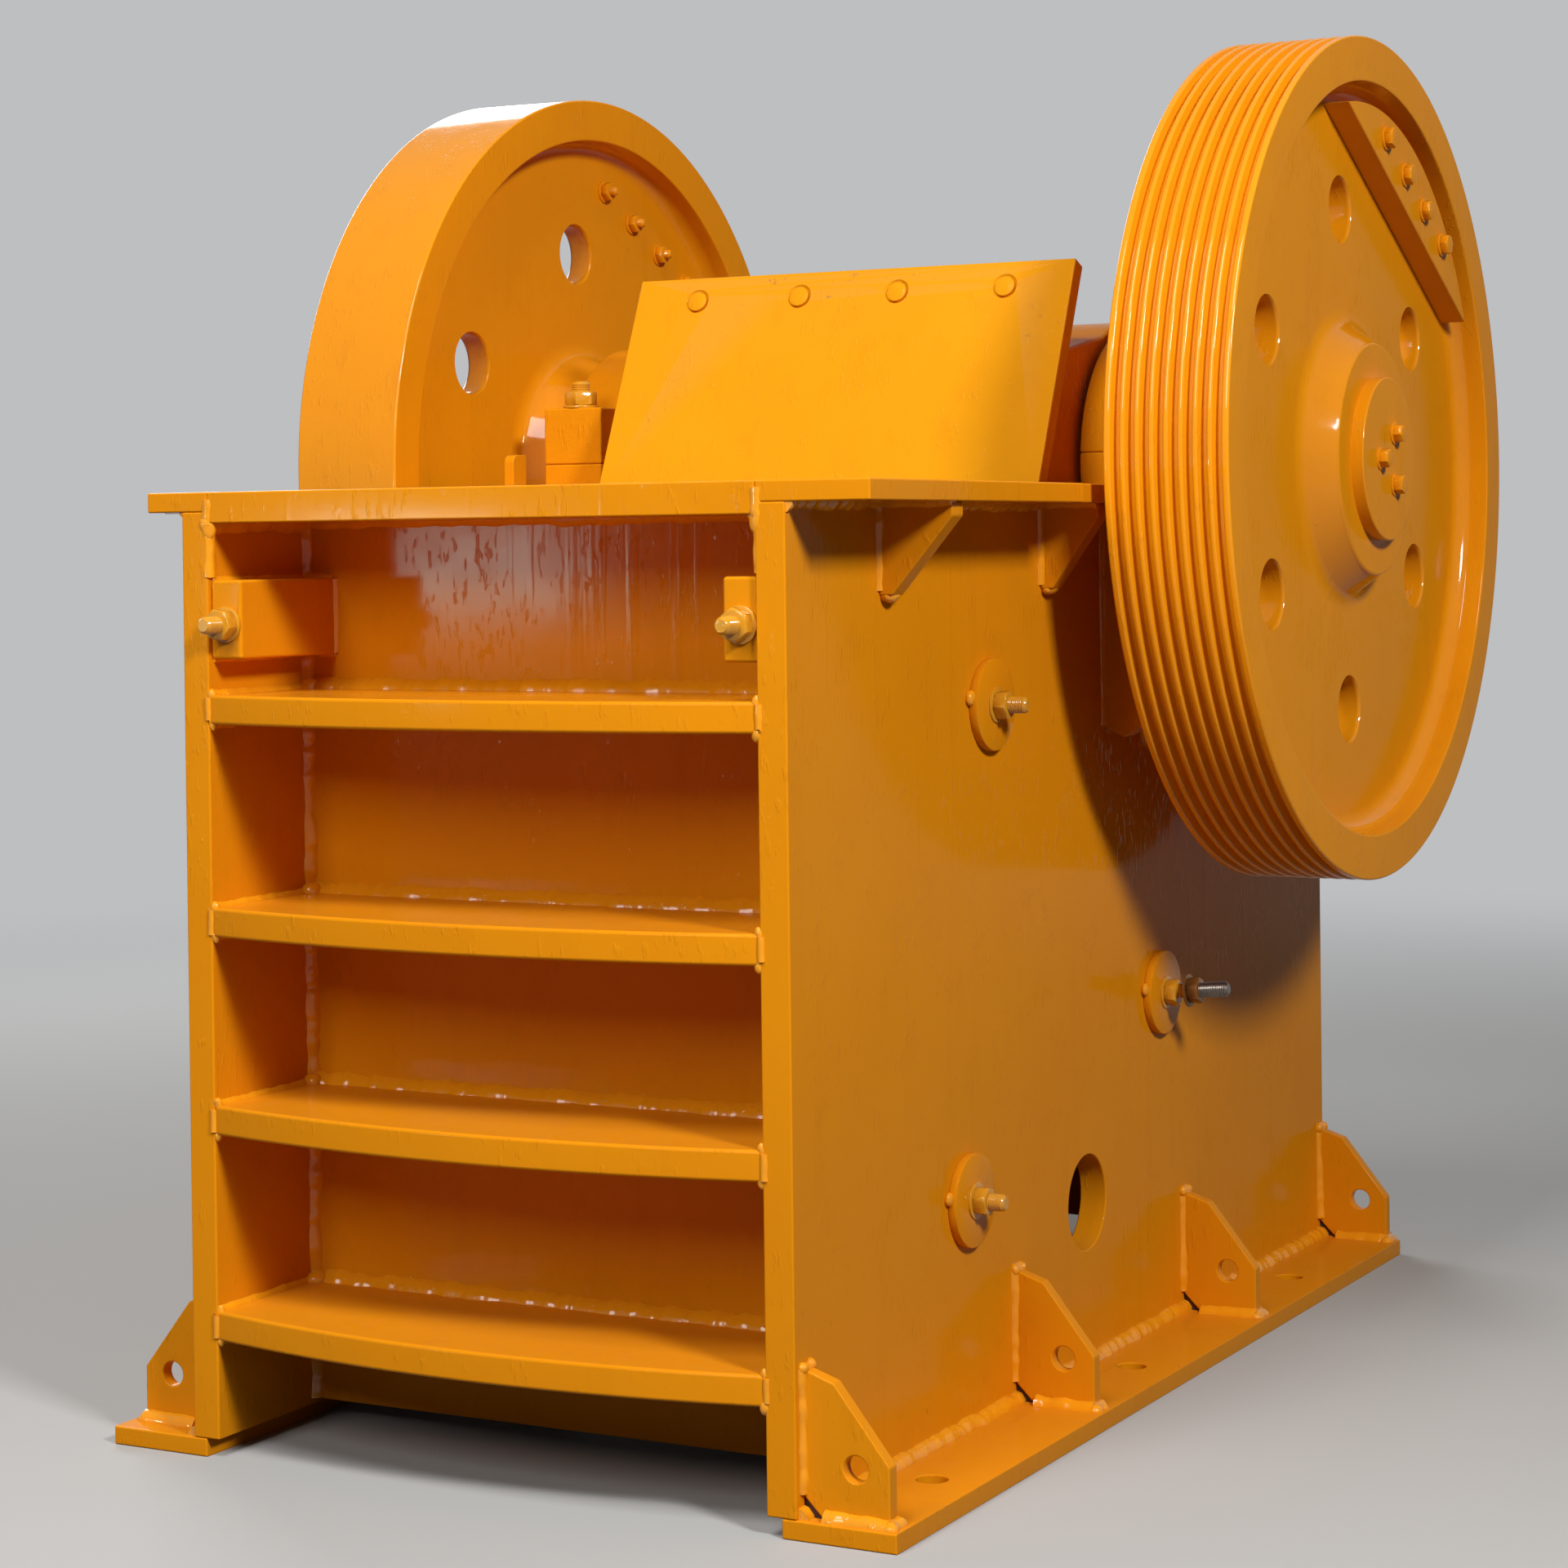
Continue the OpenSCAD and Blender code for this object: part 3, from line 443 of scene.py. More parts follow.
def makeRustSpots():
    # mask of small rusty bleeds, thicker towards the foot of the machine
    tree, inside, outside = newGroup("rustSpots", {"Amount": 0.5}, ("Rust",))
    place = addNode(tree, "TexCoord").outputs["Object"]
    split = addNode(tree, "SeparateXYZ", {0: place})
    low = ranged(tree, split.outputs["Z"], 0.02, 0.5, 1, 0.25)
    field = noise(tree, stretched(tree, place, filmSet["rustStretch"]), 21, 6, 0.72)
    spots = ranged(tree, field, 0.69, 0.78, 0, 1)
    feed(tree, outside["Rust"], calc(tree, "MULTIPLY", spots, low, inside["Amount"]))
    return tree


def makeCastSkin():
    # uneven skin of sand cast iron and steel, under paint or bare
    tree, inside, outside = newGroup("castSkin", {"Grain": 1.0}, ("Height", "Shade"))
    place = addNode(tree, "TexCoord").outputs["Object"]
    grain = calc(tree, "MULTIPLY", noise(tree, place, 420, 3, 0.6), 0.5)
    lumps = calc(tree, "MULTIPLY", noise(tree, place, 60, 4, 0.6), 2)
    height = calc(tree, "MULTIPLY", calc(tree, "ADD", grain, lumps), inside["Grain"])
    feed(tree, outside["Height"], height)
    feed(tree, outside["Shade"], ranged(tree, noise(tree, place, 18, 6, 0.7), 0.3, 0.72, 0, 1))
    return tree


paintFilm = makePaintFilm()
edgeWear = makeEdgeWear()
rustSpots = makeRustSpots()
castSkin = makeCastSkin()


def placeGroup(tree, group, **values):
    return addNode(tree, "Group", values, node_tree=group).outputs


def bumped(tree, shader, height, distance):
    bump = addNode(tree, "Bump", {"Strength": 1.0, "Distance": distance, "Height": height})
    feed(tree, shader.inputs["Normal"], bump.outputs["Normal"])


def turnedFaces(tree):
    # 1 on rims, grooves and cones, 0 on the flat webs and ends that face across the machine
    split = addNode(tree, "SeparateXYZ", {0: addNode(tree, "TexCoord").outputs["Normal"]})
    return ranged(tree, calc(tree, "ABSOLUTE", split.outputs["X"], 0), 0.75, 0.93, 1, 0)


def paintedMaterial(name, paint, deep, dust, depth, wear, rust, grain=0, shine=0.025, turnedShine=0):
    # enamel gathers and shines most along edges, on welds and on turned faces
    skin, tree, shader = newMaterial(name, {"Specular IOR Level": shine, "Coat Roughness": 0.07})
    film = placeGroup(tree, paintFilm, Paint=paint, Deep=deep, Dust=dust, Skin=1.0)
    edges = placeGroup(tree, edgeWear, Amount=wear)
    coat = ranged(tree, edges["Edge"], 0, 1, shine * 0.3, 0.7)
    if turnedShine:
        coat = calc(tree, "MAXIMUM", coat, calc(tree, "MULTIPLY", turnedFaces(tree), turnedShine))
    feed(tree, shader.inputs["Coat Weight"], coat)
    bled = placeGroup(tree, rustSpots, Amount=rust)["Rust"]
    colour = mixColours(tree, bled, film["Colour"], filmSet["rustColour"])
    colour = mixColours(tree, edges["Wear"], colour, filmSet["wornColour"])
    feed(tree, shader.inputs["Base Color"], colour)
    dull = calc(tree, "MULTIPLY", calc(tree, "ADD", bled, edges["Wear"]), 0.35)
    feed(tree, shader.inputs["Roughness"], calc(tree, "ADD", film["Roughness"], dull))
    height = film["Height"]
    if grain:
        height = calc(tree, "ADD", height, placeGroup(tree, castSkin, Grain=grain)["Height"])
    height = calc(tree, "SUBTRACT", height, calc(tree, "MULTIPLY", edges["Wear"], 0.6))
    bumped(tree, shader, height, depth)
    return skin


def metalMaterial(name, light, dark, rough, metal, grain, depth):
    skin, tree, shader = newMaterial(name, {"Metallic": metal})
    cast = placeGroup(tree, castSkin, Grain=grain)
    worn = placeGroup(tree, edgeWear, Amount=0.8)["Wear"]
    colour = mixColours(tree, worn, mixColours(tree, cast["Shade"], light, dark), filmSet["bareColour"])
    feed(tree, shader.inputs["Base Color"], colour)
    feed(tree, shader.inputs["Roughness"], ranged(tree, cast["Shade"], 0, 1, rough, rough + 0.22))
    bumped(tree, shader, cast["Height"], depth)
    return skin


orange = (0.69, 0.242, 0.004, 1)
deepOrange = (0.46, 0.115, 0.003, 1)
framePaint = paintedMaterial("framePaint", orange, deepOrange, dust=0.04, depth=0.0005, wear=0.7, rust=0.8)
# a lighter, yellower copy of the frame orange: partly the wheels' own tone, partly painted light that
# brightens their shaded webs and rims
wheelPaint = paintedMaterial("wheelPaint", (0.76, 0.272, 0.004, 1), deepOrange, dust=0.03, depth=0.0005,
                             wear=0.35, rust=0.15, grain=0.25, shine=0.01, turnedShine=0.55)
castPaint = paintedMaterial("castPaint", orange, deepOrange, dust=0.05, depth=0.0007, wear=0.4, rust=0.4,
                            grain=0.8)
# a lighter, yellower copy of the frame orange: partly the guard's own tone, partly painted light for its
# brighter lit face
guardPaint = paintedMaterial("guardPaint", (0.73, 0.295, 0.006, 1), deepOrange, dust=0.03, depth=0.0004,
                             wear=0.5, rust=0.1)
# a lighter copy of the frame orange on the weld beads: painted highlight that brightens their glossy look
weldPaint = paintedMaterial("weldPaint", (0.78, 0.295, 0.006, 1), (0.50, 0.15, 0.003, 1), dust=0.03,
                            depth=0.0006, wear=0.2, rust=0.6, shine=0.3)
boltPaint = paintedMaterial("boltPaint", (0.60, 0.26, 0.012, 1), (0.38, 0.14, 0.01, 1), dust=0.06,
                            depth=0.0004, wear=0.6, rust=0.3, shine=0.4)
jawSteel = metalMaterial("jawSteel", (0.115, 0.085, 0.066, 1), (0.045, 0.030, 0.024, 1),
                         rough=0.42, metal=0.55, grain=1.2, depth=0.0009)
shaftSteel = metalMaterial("shaftSteel", (0.42, 0.41, 0.40, 1), (0.24, 0.22, 0.20, 1),
                           rough=0.22, metal=0.9, grain=0.12, depth=0.0003)
springSteel = metalMaterial("springSteel", (0.055, 0.052, 0.050, 1), (0.025, 0.022, 0.020, 1),
                            rough=0.34, metal=0.4, grain=0.35, depth=0.0004)
studSteel = metalMaterial("studSteel", (0.25, 0.215, 0.18, 1), (0.08, 0.058, 0.045, 1),
                          rough=0.20, metal=0.9, grain=0.15, depth=0.0003)
thinPaint = metalMaterial("thinPaint", (0.30, 0.12, 0.02, 1), (0.09, 0.032, 0.010, 1),
                          rough=0.26, metal=0.35, grain=0.5, depth=0.0004)
# near-black slag and rust for the cope notches, dark enough to stand as painted shade in the slits
rawRust = metalMaterial("rawRust", (0.075, 0.026, 0.011, 1), (0.018, 0.011, 0.008, 1),
                        rough=0.62, metal=0.1, grain=1.4, depth=0.0008)
sayDone("finishes ready")

addCamera()
addFloor()
addWorld()
addLamps()
sayDone("studio ready")


# Plates, walls and castings that keep the frame's shape, with rounded and slightly soft edges

plateSet = [
    {"edge": 3.0, "steps": 3, "paint": framePaint, "slot": "frame_paint", "body": "frame",
     "nodes": ["left_side_plate", "right_side_plate", "front_wall", "front_top_plate", "left_base_flange",
               "right_base_flange", "left_base_gussets", "right_base_gussets", "left_deck", "right_deck",
               "left_deck_gussets", "right_deck_gussets", "back_wall", "spring_beam"]},
    {"edge": 6.0, "steps": 4, "paint": framePaint, "slot": "frame_paint", "body": "frame",
     "nodes": ["front_rib_1", "front_rib_2", "front_rib_3", "front_rib_4"]},
    {"edge": 4.0, "steps": 2, "paint": castPaint, "slot": "cast_paint", "body": "frame",
     "nodes": ["toggle_beam"]},
    {"edge": 4.0, "steps": 3, "paint": jawSteel, "slot": "jaw_steel", "body": "frame",
     "nodes": ["fixed_jaw_plate", "left_cheek_plate", "right_cheek_plate", "toggle_plate"]},
    {"edge": 4.0, "steps": 3, "paint": jawSteel, "slot": "jaw_steel", "body": "jaw",
     "nodes": ["swing_jaw_plate"]},
    {"edge": 7.0, "steps": 3, "paint": castPaint, "slot": "cast_paint", "body": "jaw",
     "nodes": ["swing_jaw"]},
    {"edge": 1.6, "steps": 2, "paint": shaftSteel, "slot": "shaft_steel", "body": "rotor",
     "nodes": ["eccentric_shaft"]},
]


def pieceName(nodeName):
    first, *rest = nodeName.split("_")
    return first + "".join(word.capitalize() for word in rest)


def roundedCopy(nodeName, edge, steps):
    obj = addCopy(pieceName(nodeName), nodes[nodeName].data)
    edit(obj)
    bpy.ops.mesh.customdata_custom_splitnormals_clear()
    bpy.ops.mesh.remove_doubles(threshold=0.00002)
    bpy.ops.mesh.dissolve_limited(angle_limit=math.radians(0.3))
    done()
    roundEdges(obj, edge, steps)
    return smoothFaces(obj)


for kind in plateSet:
    for nodeName in kind["nodes"]:
        plate = roundedCopy(nodeName, kind["edge"], kind["steps"])
        dress(plate, kind["paint"], kind["body"], kind["slot"], nodeName)
sayDone("plates done")


# Bolts: nuts with turned corners, washers and threaded studs, modelled once along Z and copied

def modelNut(name, across, tall):
    startClean()
    bpy.ops.mesh.primitive_cylinder_add(vertices=6, radius=across / math.sqrt(3) / 1000, depth=tall / 1000,
                                        location=(0, 0, tall / 2000))
    nut = setPlace(bpy.context.object)
    nut.name = name
    edge = across * 0.06
    small, wide = across * 0.475, across * 0.585
    profile = [(0, 0), (0, small), (edge, wide), (tall - edge, wide), (tall, small), (tall, 0)]
    cone = turned("nutCone", profile, 36)
    cutBy(nut, cone, "INTERSECT")
    roundEdges(nut, 0.7, 1, 24)
    return nut


def modelWasher(name, outer, inner, thick, soft=1.5):
    r, hole, slip = outer / 2, inner / 2, soft * 0.3
    profile = [(0, hole), (0, r - soft), (slip, r - slip), (soft, r), (thick - soft, r),
               (thick - slip, r - slip), (thick, r - soft), (thick, hole), (0, hole)]
    return turned(name, profile, 56)


def modelStud(name, across, length, pitch, plain=0):
    # a stud that starts at 0 with a plain stretch and ends in a turned chamfer
    r = across / 2
    profile = [(0, 0), (0, r)]
    if plain:
        profile.append((plain, r))
    place = plain
    while place + pitch < length - 4:
        profile += [(place + pitch * 0.45, r - pitch * 0.42), (place + pitch * 0.95, r)]
        place += pitch
    profile += [(length - 3.5, r - pitch * 0.35), (length, r - pitch * 0.35 - 3.2), (length, 0)]
    return turned(name, profile, 26)


def boltDone(parts, name, paint, body, slotName, *replaced):
    obj = joinAll(parts, name)
    smoothFaces(obj, 35, False)
    return dress(obj, paint, body, slotName, *replaced)


def dropModels(*models):
    for model in models:
        bpy.data.objects.remove(model)


# The bolts through the side plates: a disc washer, a thin washer, one or two nuts and the stud

sideBoltSet = {
    "places": ((700, 1192, 0, 72, 0), (1428, 633, 58, 136, 5), (600, 396, 0, 68, 0)),
    "plateFace": 550,
    "disc": 152,
    "discThick": 15,
    "seat": 60,
    "seatThick": 3,
    "stud": 28,
    "nut": 42,
    "nutTall": 22,
    "pitch": 3.5,
}


def makeSideBolts():
    # each place is along, up, where a second nut starts, how far the stud reaches and how far it leans up
    put = sideBoltSet
    disc = modelWasher("discModel", put["disc"], put["stud"] + 3, put["discThick"], 2.5)
    seat = modelWasher("seatModel", put["seat"], put["stud"] + 2, put["seatThick"], 0.9)
    nut = modelNut("nutModel", put["nut"], put["nutTall"])
    for side, word in bothSides:
        discs, parts, rusty, ends = [], [], [], []
        out = (side, 0, 0)
        for number, (along, up, second, reach, lean) in enumerate(put["places"]):
            face = put["plateFace"]
            discs.append(copyTo(disc, "disc", at(side * face, along, up), out, 20 * number))
            face += put["discThick"]
            parts.append(copyTo(seat, "seat", at(side * face, along, up), out))
            face += put["seatThick"]
            parts.append(copyTo(nut, "nut", at(side * face, along, up), out, 11 + 17 * number))
            spot = at(side * put["plateFace"], along, up)
            aim = Vector((side * math.cos(math.radians(lean)), 0, math.sin(math.radians(lean))))
            stud = modelStud("stud", put["stud"], (second + 5 if second else reach) + 40, put["pitch"], 46)
            parts.append(moveTo(stud, spot - aim * 0.040, aim))
            if second:
                rusty.append(copyTo(seat, "secondSeat", spot + aim * second / 1000, aim))
                nutSpot = spot + aim * (second + put["seatThick"]) / 1000
                rusty.append(copyTo(nut, "secondNut", nutSpot, aim, 38))
                end = modelStud("end", put["stud"], reach - second - 2, put["pitch"], 12)
                ends.append(moveTo(end, spot + aim * (second + 2) / 1000, aim))
        boltDone(discs, word + "BoltDiscs", framePaint, "frame", "frame_paint")
        boltDone(parts, word + "SideBolts", boltPaint, "frame", "bolt_paint", word + "_side_bolts")
        boltDone(rusty, word + "SecondNut", thinPaint, "frame", "bolt_paint")
        boltDone(ends, word + "BareStud", studSteel, "frame", "shaft_steel")
    dropModels(disc, seat, nut)


makeSideBolts()


# Corner blocks in the top bay, each with a stud, washer and nut in its front

blockSet = {
    "wide": 60,
    "tall": 127,
    "low": 1285,
    "front": 8,
    "wall": 267,
    "plateFace": 500,
    "studIn": 30,
    "studDrop": 8,
    "stud": 28,
    "studOut": 60,
    "nut": 46,
    "nutTall": 22,
    "nutTurn": {-1: 21, 1: 8},
    "washer": 58,
    "washerThick": 4,
    "corner": 5.5,
}


def makeCornerBlocks():
    put = blockSet
    nut = modelNut("blockNutModel", put["nut"], put["nutTall"])
    washer = modelWasher("blockWasherModel", put["washer"], put["stud"] + 2, put["washerThick"], 1)
    for side, word in bothSides:
        low, high = sorted((side * (put["plateFace"] - put["wide"]), side * put["plateFace"]))
        block = addBlock(word + "CornerBlock", (low, put["front"], put["low"]),
                         (high, put["wall"], put["low"] + put["tall"]))
        roundEdges(block, put["corner"], 3)
        smoothFaces(block)
        dress(block, framePaint, "frame", "frame_paint", word + "_corner_block")
        across = side * (put["plateFace"] - put["studIn"])
        up = put["low"] + put["tall"] / 2 - put["studDrop"]
        nutFace = put["front"] - put["washerThick"]
        parts = [copyTo(washer, "washer", at(across, put["front"], up), (0, -1, 0)),
                 copyTo(nut, "nut", at(across, nutFace, up), (0, -1, 0), put["nutTurn"][side])]
        stud = modelStud("stud", put["stud"], put["studOut"] + 20, 3.5, 22)
        parts.append(moveTo(stud, at(across, put["front"] + 20, up), (0, -1, 0)))
        boltDone(parts, word + "BlockBolt", boltPaint, "frame", "bolt_paint")
    dropModels(nut, washer)


makeCornerBlocks()


# A small upright stop plate on the left deck, in front of the bearing

stopSet = {
    "low": (-611, 1052, 1553),
    "high": (-590, 1098, 1633),
    "cut": 16,
}


def makeStopPlate():
    put = stopSet
    plate = addBlock("leftStopPlate", put["low"], put["high"])
    top, near = at(*put["high"]).z, at(*put["low"]).y

    def topFront(edge):
        ends = [plate.data.vertices[number].co for number in edge.vertices]
        return all(abs(end.z - top) < 0.0001 and abs(end.y - near) < 0.0001 for end in ends)

    editOnly(plate, "edges", topFront)
    bpy.ops.mesh.bevel(offset=put["cut"] / 1000, segments=4, affect="EDGES")
    done()
    roundEdges(plate, 1.8, 2)
    smoothFaces(plate)
    dress(plate, framePaint, "frame", "frame_paint")


makeStopPlate()
sayDone("frame bolts done")


# The two wheels, turned in one profile each, with their web holes cut through

wheelSet = {
    "axisAlong": 1588,
    "axisUp": 1600,
    "inFace": 704,
    "wide": 220,
    "radius": 761.5,
    "rimIn": 680,
    "rimFillet": 34,
    "webThick": 50,
    "webDepth": 64,
    "hub": 252,
    "hubFace": 212,
    "hubReach": 26,
    "bore": 110,
    "holes": 6,
    "holeRadius": 59,
    "holeRing": 455,
    "holeTurn": 1.5,
    "grooves": 8,
    "groovePitch": 25.5,
    "grooveWide": 17,
    "grooveBottom": 8,
    "grooveDeep": 16,
    "crest": 2.6,
    "steps": 180,
}


def roundShaft(side, across, ring=0, turn=0):
    # a spot on a ring round the shaft's axis, so far across from the middle line
    angle = math.radians(turn)
    along = wheelSet["axisAlong"] + ring * math.cos(angle)
    return at(side * across, along, wheelSet["axisUp"] + ring * math.sin(angle))


def grooveProfile(put, first):
    # rim surface with rounded crests between the belt grooves, from low to high place along the shaft
    points = []
    r, deep = put["radius"], put["grooveDeep"]
    slope = (put["grooveWide"] - put["grooveBottom"]) / 2 / deep
    crest = put["crest"]
    for number in range(put["grooves"]):
        middle = first + number * put["groovePitch"]
        left, right = middle - put["grooveWide"] / 2, middle + put["grooveWide"] / 2
        foot = put["grooveBottom"] / 2
        points += [(left - crest * 1.1, r), (left - crest * 0.35, r - crest * 0.18),
                   (left + crest * slope, r - crest), (left + slope * (deep - 2), r - deep + 2),
                   (middle - foot + 1.2, r - deep), (middle + foot - 1.2, r - deep),
                   (right - slope * (deep - 2), r - deep + 2), (right - crest * slope, r - crest),
                   (right + crest * 0.35, r - crest * 0.18), (right + crest * 1.1, r)]
    return points


def wheelProfile(put, webOut, grooved):
    # points (along the shaft, radius), round the section from the bore at the inner hub face
    webIn = webOut - put["webThick"]
    inFace = put["inFace"]
    outFace = inFace + put["wide"]
    rimIn, fillet, r = put["rimIn"], put["rimFillet"], put["radius"]
    hubIn = inFace - put["hubReach"]
    points = [(hubIn, put["bore"]), (hubIn, put["hubFace"] - 6)]
    points += arc((hubIn + 6, put["hubFace"] - 6), 6, 180, 90, 4)
    points += [(webIn - 14, put["hub"] - 10), (webIn - 6, put["hub"] - 1), (webIn - 1.5, put["hub"] + 12),
               (webIn, put["hub"] + 26)]
    points += [(webIn, rimIn - fillet - 4)] + arc((webIn - fillet, rimIn - fillet), fillet, 0, 90, 8)[1:]
    points += [(inFace + 5, rimIn), (inFace + 1.5, rimIn + 1.5), (inFace, rimIn + 5), (inFace, r - 4)]
    points += arc((inFace + 4, r - 4), 4, 180, 90, 4)[1:]
    if grooved:
        first = inFace + (put["wide"] - (put["grooves"] - 1) * put["groovePitch"]) / 2
        points += grooveProfile(put, first)
    else:
        points += [(inFace + put["wide"] / 2, r)]
    points += arc((outFace - 4, r - 4), 4, 90, 0, 4)
    points += [(outFace, rimIn + 5), (outFace - 1.5, rimIn + 1.5), (outFace - 5, rimIn)]
    points += arc((webOut + fillet, rimIn - fillet), fillet, 90, 180, 8)
    points += [(webOut, rimIn - fillet - 4), (webOut, put["hub"] + 26), (webOut + 1.5, put["hub"] + 12),
               (webOut + 6, put["hub"] - 1), (webOut + 14, put["hub"] - 10)]
    hubOut = outFace - 3
    points += arc((hubOut - 6, put["hubFace"] - 6), 6, 90, 0, 4)
    points += [(hubOut, put["bore"]), (hubIn, put["bore"])]
    return points


def makeWheel(name, nodeName, side, webOut, grooved):
    put = wheelSet
    wheel = turned(name, wheelProfile(put, webOut, grooved), put["steps"])
    webIn = webOut - put["webThick"]
    r, ring = put["holeRadius"], put["holeRing"] / 1000
    # the holes' edges are chamfered on both faces
    profile = [(webIn - 5, 0), (webIn - 5, r + 8), (webIn, r + 3), (webIn + 3, r + 0.8), (webIn + 7, r),
               (webOut - 7, r), (webOut - 3, r + 0.8), (webOut, r + 3), (webOut + 5, r + 8), (webOut + 5, 0)]
    cutters = []
    # local x of the turned wheel ends up down on the right wheel and up on the left one
    first = 180 + put["holeTurn"] if side > 0 else -put["holeTurn"]
    for number in range(put["holes"]):
        angle = math.radians(first + number * 360 / put["holes"])
        cutter = turned("holeCutter", profile, 48)
        cutter.location = Vector((ring * math.cos(angle), ring * math.sin(angle), 0))
        pick(cutter)
        cutters.append(setPlace(cutter))
    cutBy(wheel, joinAll(cutters, "holeCutters"))
    moveTo(wheel, roundShaft(side, 0), (side, 0, 0))
    smoothFaces(wheel, 40)
    return dress(wheel, wheelPaint, "rotor", "wheel_paint", nodeName)


pulleyWeb = wheelSet["inFace"] + wheelSet["wide"] - wheelSet["webDepth"]
flywheelWeb = wheelSet["inFace"] + wheelSet["webDepth"] + wheelSet["webThick"]
makeWheel("pulleyWheel", "pulley", 1, pulleyWeb, True)
makeWheel("flywheelWheel", "flywheel", -1, flywheelWeb, False)
sayDone("wheels done")


# Counterweights on the webs, with four bolts each, and the end plates on the hubs with three

weightSet = {
    "turn": 62.3,
    "boltRing": 571,
    "boltStep": 124,
    "bolts": 4,
    "head": 34.5,
    "headTall": 15,
    "washer": 46,
    "washerHole": 22,
    "washerThick": 4,
    "stud": 20,
    "thick": 50,
}


def makeCounterweights():
    put = weightSet
    head = modelNut("headModel", put["head"], put["headTall"])
    washer = modelWasher("washerModel", put["washer"], put["washerHole"], put["washerThick"], 1)
    turn = math.radians(put["turn"])
    outward = Vector((0, math.cos(turn), math.sin(turn)))
    along = Vector((0, -math.sin(turn), math.cos(turn)))
    for side, word, webOut in ((-1, "flywheel", flywheelWeb), (1, "pulley", pulleyWeb)):
        weight = roundedCopy(word + "_counterweight", 3.0, 2)
        dress(weight, wheelPaint, "rotor", "wheel_paint", word + "_counterweight")
        parts = []
        # heads on the weight's face, nuts on the web's inner face
        faces = ((webOut + put["thick"], side, 13), (webOut - wheelSet["webThick"], -side, 7))
        for number in range(put["bolts"]):
            shift = (number - (put["bolts"] - 1) / 2) * put["boltStep"]
            spot = roundShaft(side, 0) + (outward * put["boltRing"] + along * shift) / 1000
            for across, out, turnStep in faces:
                face = spot + Vector((side * across / 1000, 0, 0))
                lifted = face + Vector((out * put["washerThick"] / 1000, 0, 0))
                parts.append(copyTo(washer, "washer", face, (out, 0, 0)))
                parts.append(copyTo(head, "head", lifted, (out, 0, 0), turnStep * number))
            stud = modelStud("stud", put["stud"], 34, 2.5, 18)
            parts.append(moveTo(stud, face, (-side, 0, 0)))
        boltDone(parts, word + "WeightBolts", wheelPaint, "rotor", "wheel_paint")
    dropModels(head, washer)


endSet = {
    "profile": [(0, 0), (0, 148)] + arc((21, 145), 3, 90, 0, 3) + [(24, 70), (23.4, 69), (23.4, 0)],
    "sunk": 3,
    "boltFace": 23.4,
    "boltRing": 54,
    "boltTurns": (60, 180, 300),
    "bolt": 30,
    "boltTall": 19,
    "washer": 42,
    "washerHole": 20,
    "washerThick": 3,
}


def makeEndPlates():
    put = endSet
    outFace = wheelSet["inFace"] + wheelSet["wide"] - put["sunk"]
    bolt = modelNut("endBoltModel", put["bolt"], put["boltTall"])
    washer = modelWasher("endWasherModel", put["washer"], put["washerHole"], put["washerThick"], 1)
    for side, word in ((-1, "flywheel"), (1, "pulley")):
        plate = turned(word + "EndPlate", put["profile"], 96)
        moveTo(plate, roundShaft(side, outFace), (side, 0, 0))
        smoothFaces(plate, 35)
        dress(plate, wheelPaint, "rotor", "wheel_paint", word + "_end_plate")
        parts = []
        for turn in put["boltTurns"]:
            spot = roundShaft(side, outFace + put["boltFace"], put["boltRing"], turn)
            parts.append(copyTo(washer, "washer", spot, (side, 0, 0)))
            parts.append(copyTo(bolt, "bolt", spot + Vector((side * 0.001, 0, 0)), (side, 0, 0), turn / 9))
        boltDone(parts, word + "EndBolts", wheelPaint, "rotor", "wheel_paint")
    dropModels(bolt, washer)


makeCounterweights()
makeEndPlates()
sayDone("wheel parts done")


# Bearing housings and caps, with end covers and lug bolts

housingSet = {
    "outFace": 650,
    "lugFront": 1258,
    "lugEnd": 1918,
    "lugTop": 1727,
    "lugIn": 522,
    "lugBolt": 34,
    "bolt": 36,
    "nut": 55,
    "nutTall": 28,
    "washer": 70,
    "washerThick": 5,
    "cover": [(0, 128), (0, 214)] + arc((9, 211), 3, 90, 0, 2) + [(12, 140), (9, 136), (9, 128), (0, 128)],
    "coverThick": 12,
    "coverBolt": 24,
    "coverBoltTall": 7,
    "coverBolts": 8,
    "coverRing": 190,
}


def makeHousings():
    put = housingSet
    nut = modelNut("lugNutModel", put["nut"], put["nutTall"])
    washer = modelWasher("lugWasherModel", put["washer"], put["bolt"] + 2, put["washerThick"], 1)
    coverBolt = modelNut("coverBoltModel", put["coverBolt"], put["coverBoltTall"])
    up = (0, 0, 1)
    for side, word in bothSides:
        for part in ("_bearing_housing", "_bearing_cap"):
            casting = roundedCopy(word + part, 4, 3)
            dress(casting, castPaint, "frame", "cast_paint", word + part)
        cover = turned(word + "BearingCover", put["cover"], 96)
        moveTo(cover, roundShaft(side, put["outFace"]), (side, 0, 0))
        smoothFaces(cover, 35)
        dress(cover, castPaint, "frame", "cast_paint")
        parts = []
        step = 360 / put["coverBolts"]
        for number in range(put["coverBolts"]):
            turn = step / 2 + step * number
            spot = roundShaft(side, put["outFace"] + put["coverThick"], put["coverRing"], turn)
            parts.append(copyTo(coverBolt, "coverBolt", spot, (side, 0, 0), 10 * number))
        for along in (put["lugFront"] + put["lugBolt"], put["lugEnd"] - put["lugBolt"]):
            spot = at(side * (put["lugIn"] + put["outFace"]) / 2, along, put["lugTop"])
            parts.append(copyTo(washer, "washer", spot, up))
            parts.append(copyTo(nut, "nut", spot + Vector((0, 0, put["washerThick"] / 1000)), up, 12))
            parts.append(moveTo(modelStud("stud", put["bolt"], 52, 4, 30), spot, up))
        boltDone(parts, word + "BearingBolts", boltPaint, "frame", "bolt_paint")
    dropModels(nut, washer, coverBolt)


makeHousings()


# Guard plate with four flush bolt heads near its top edge, each in a shallow ring

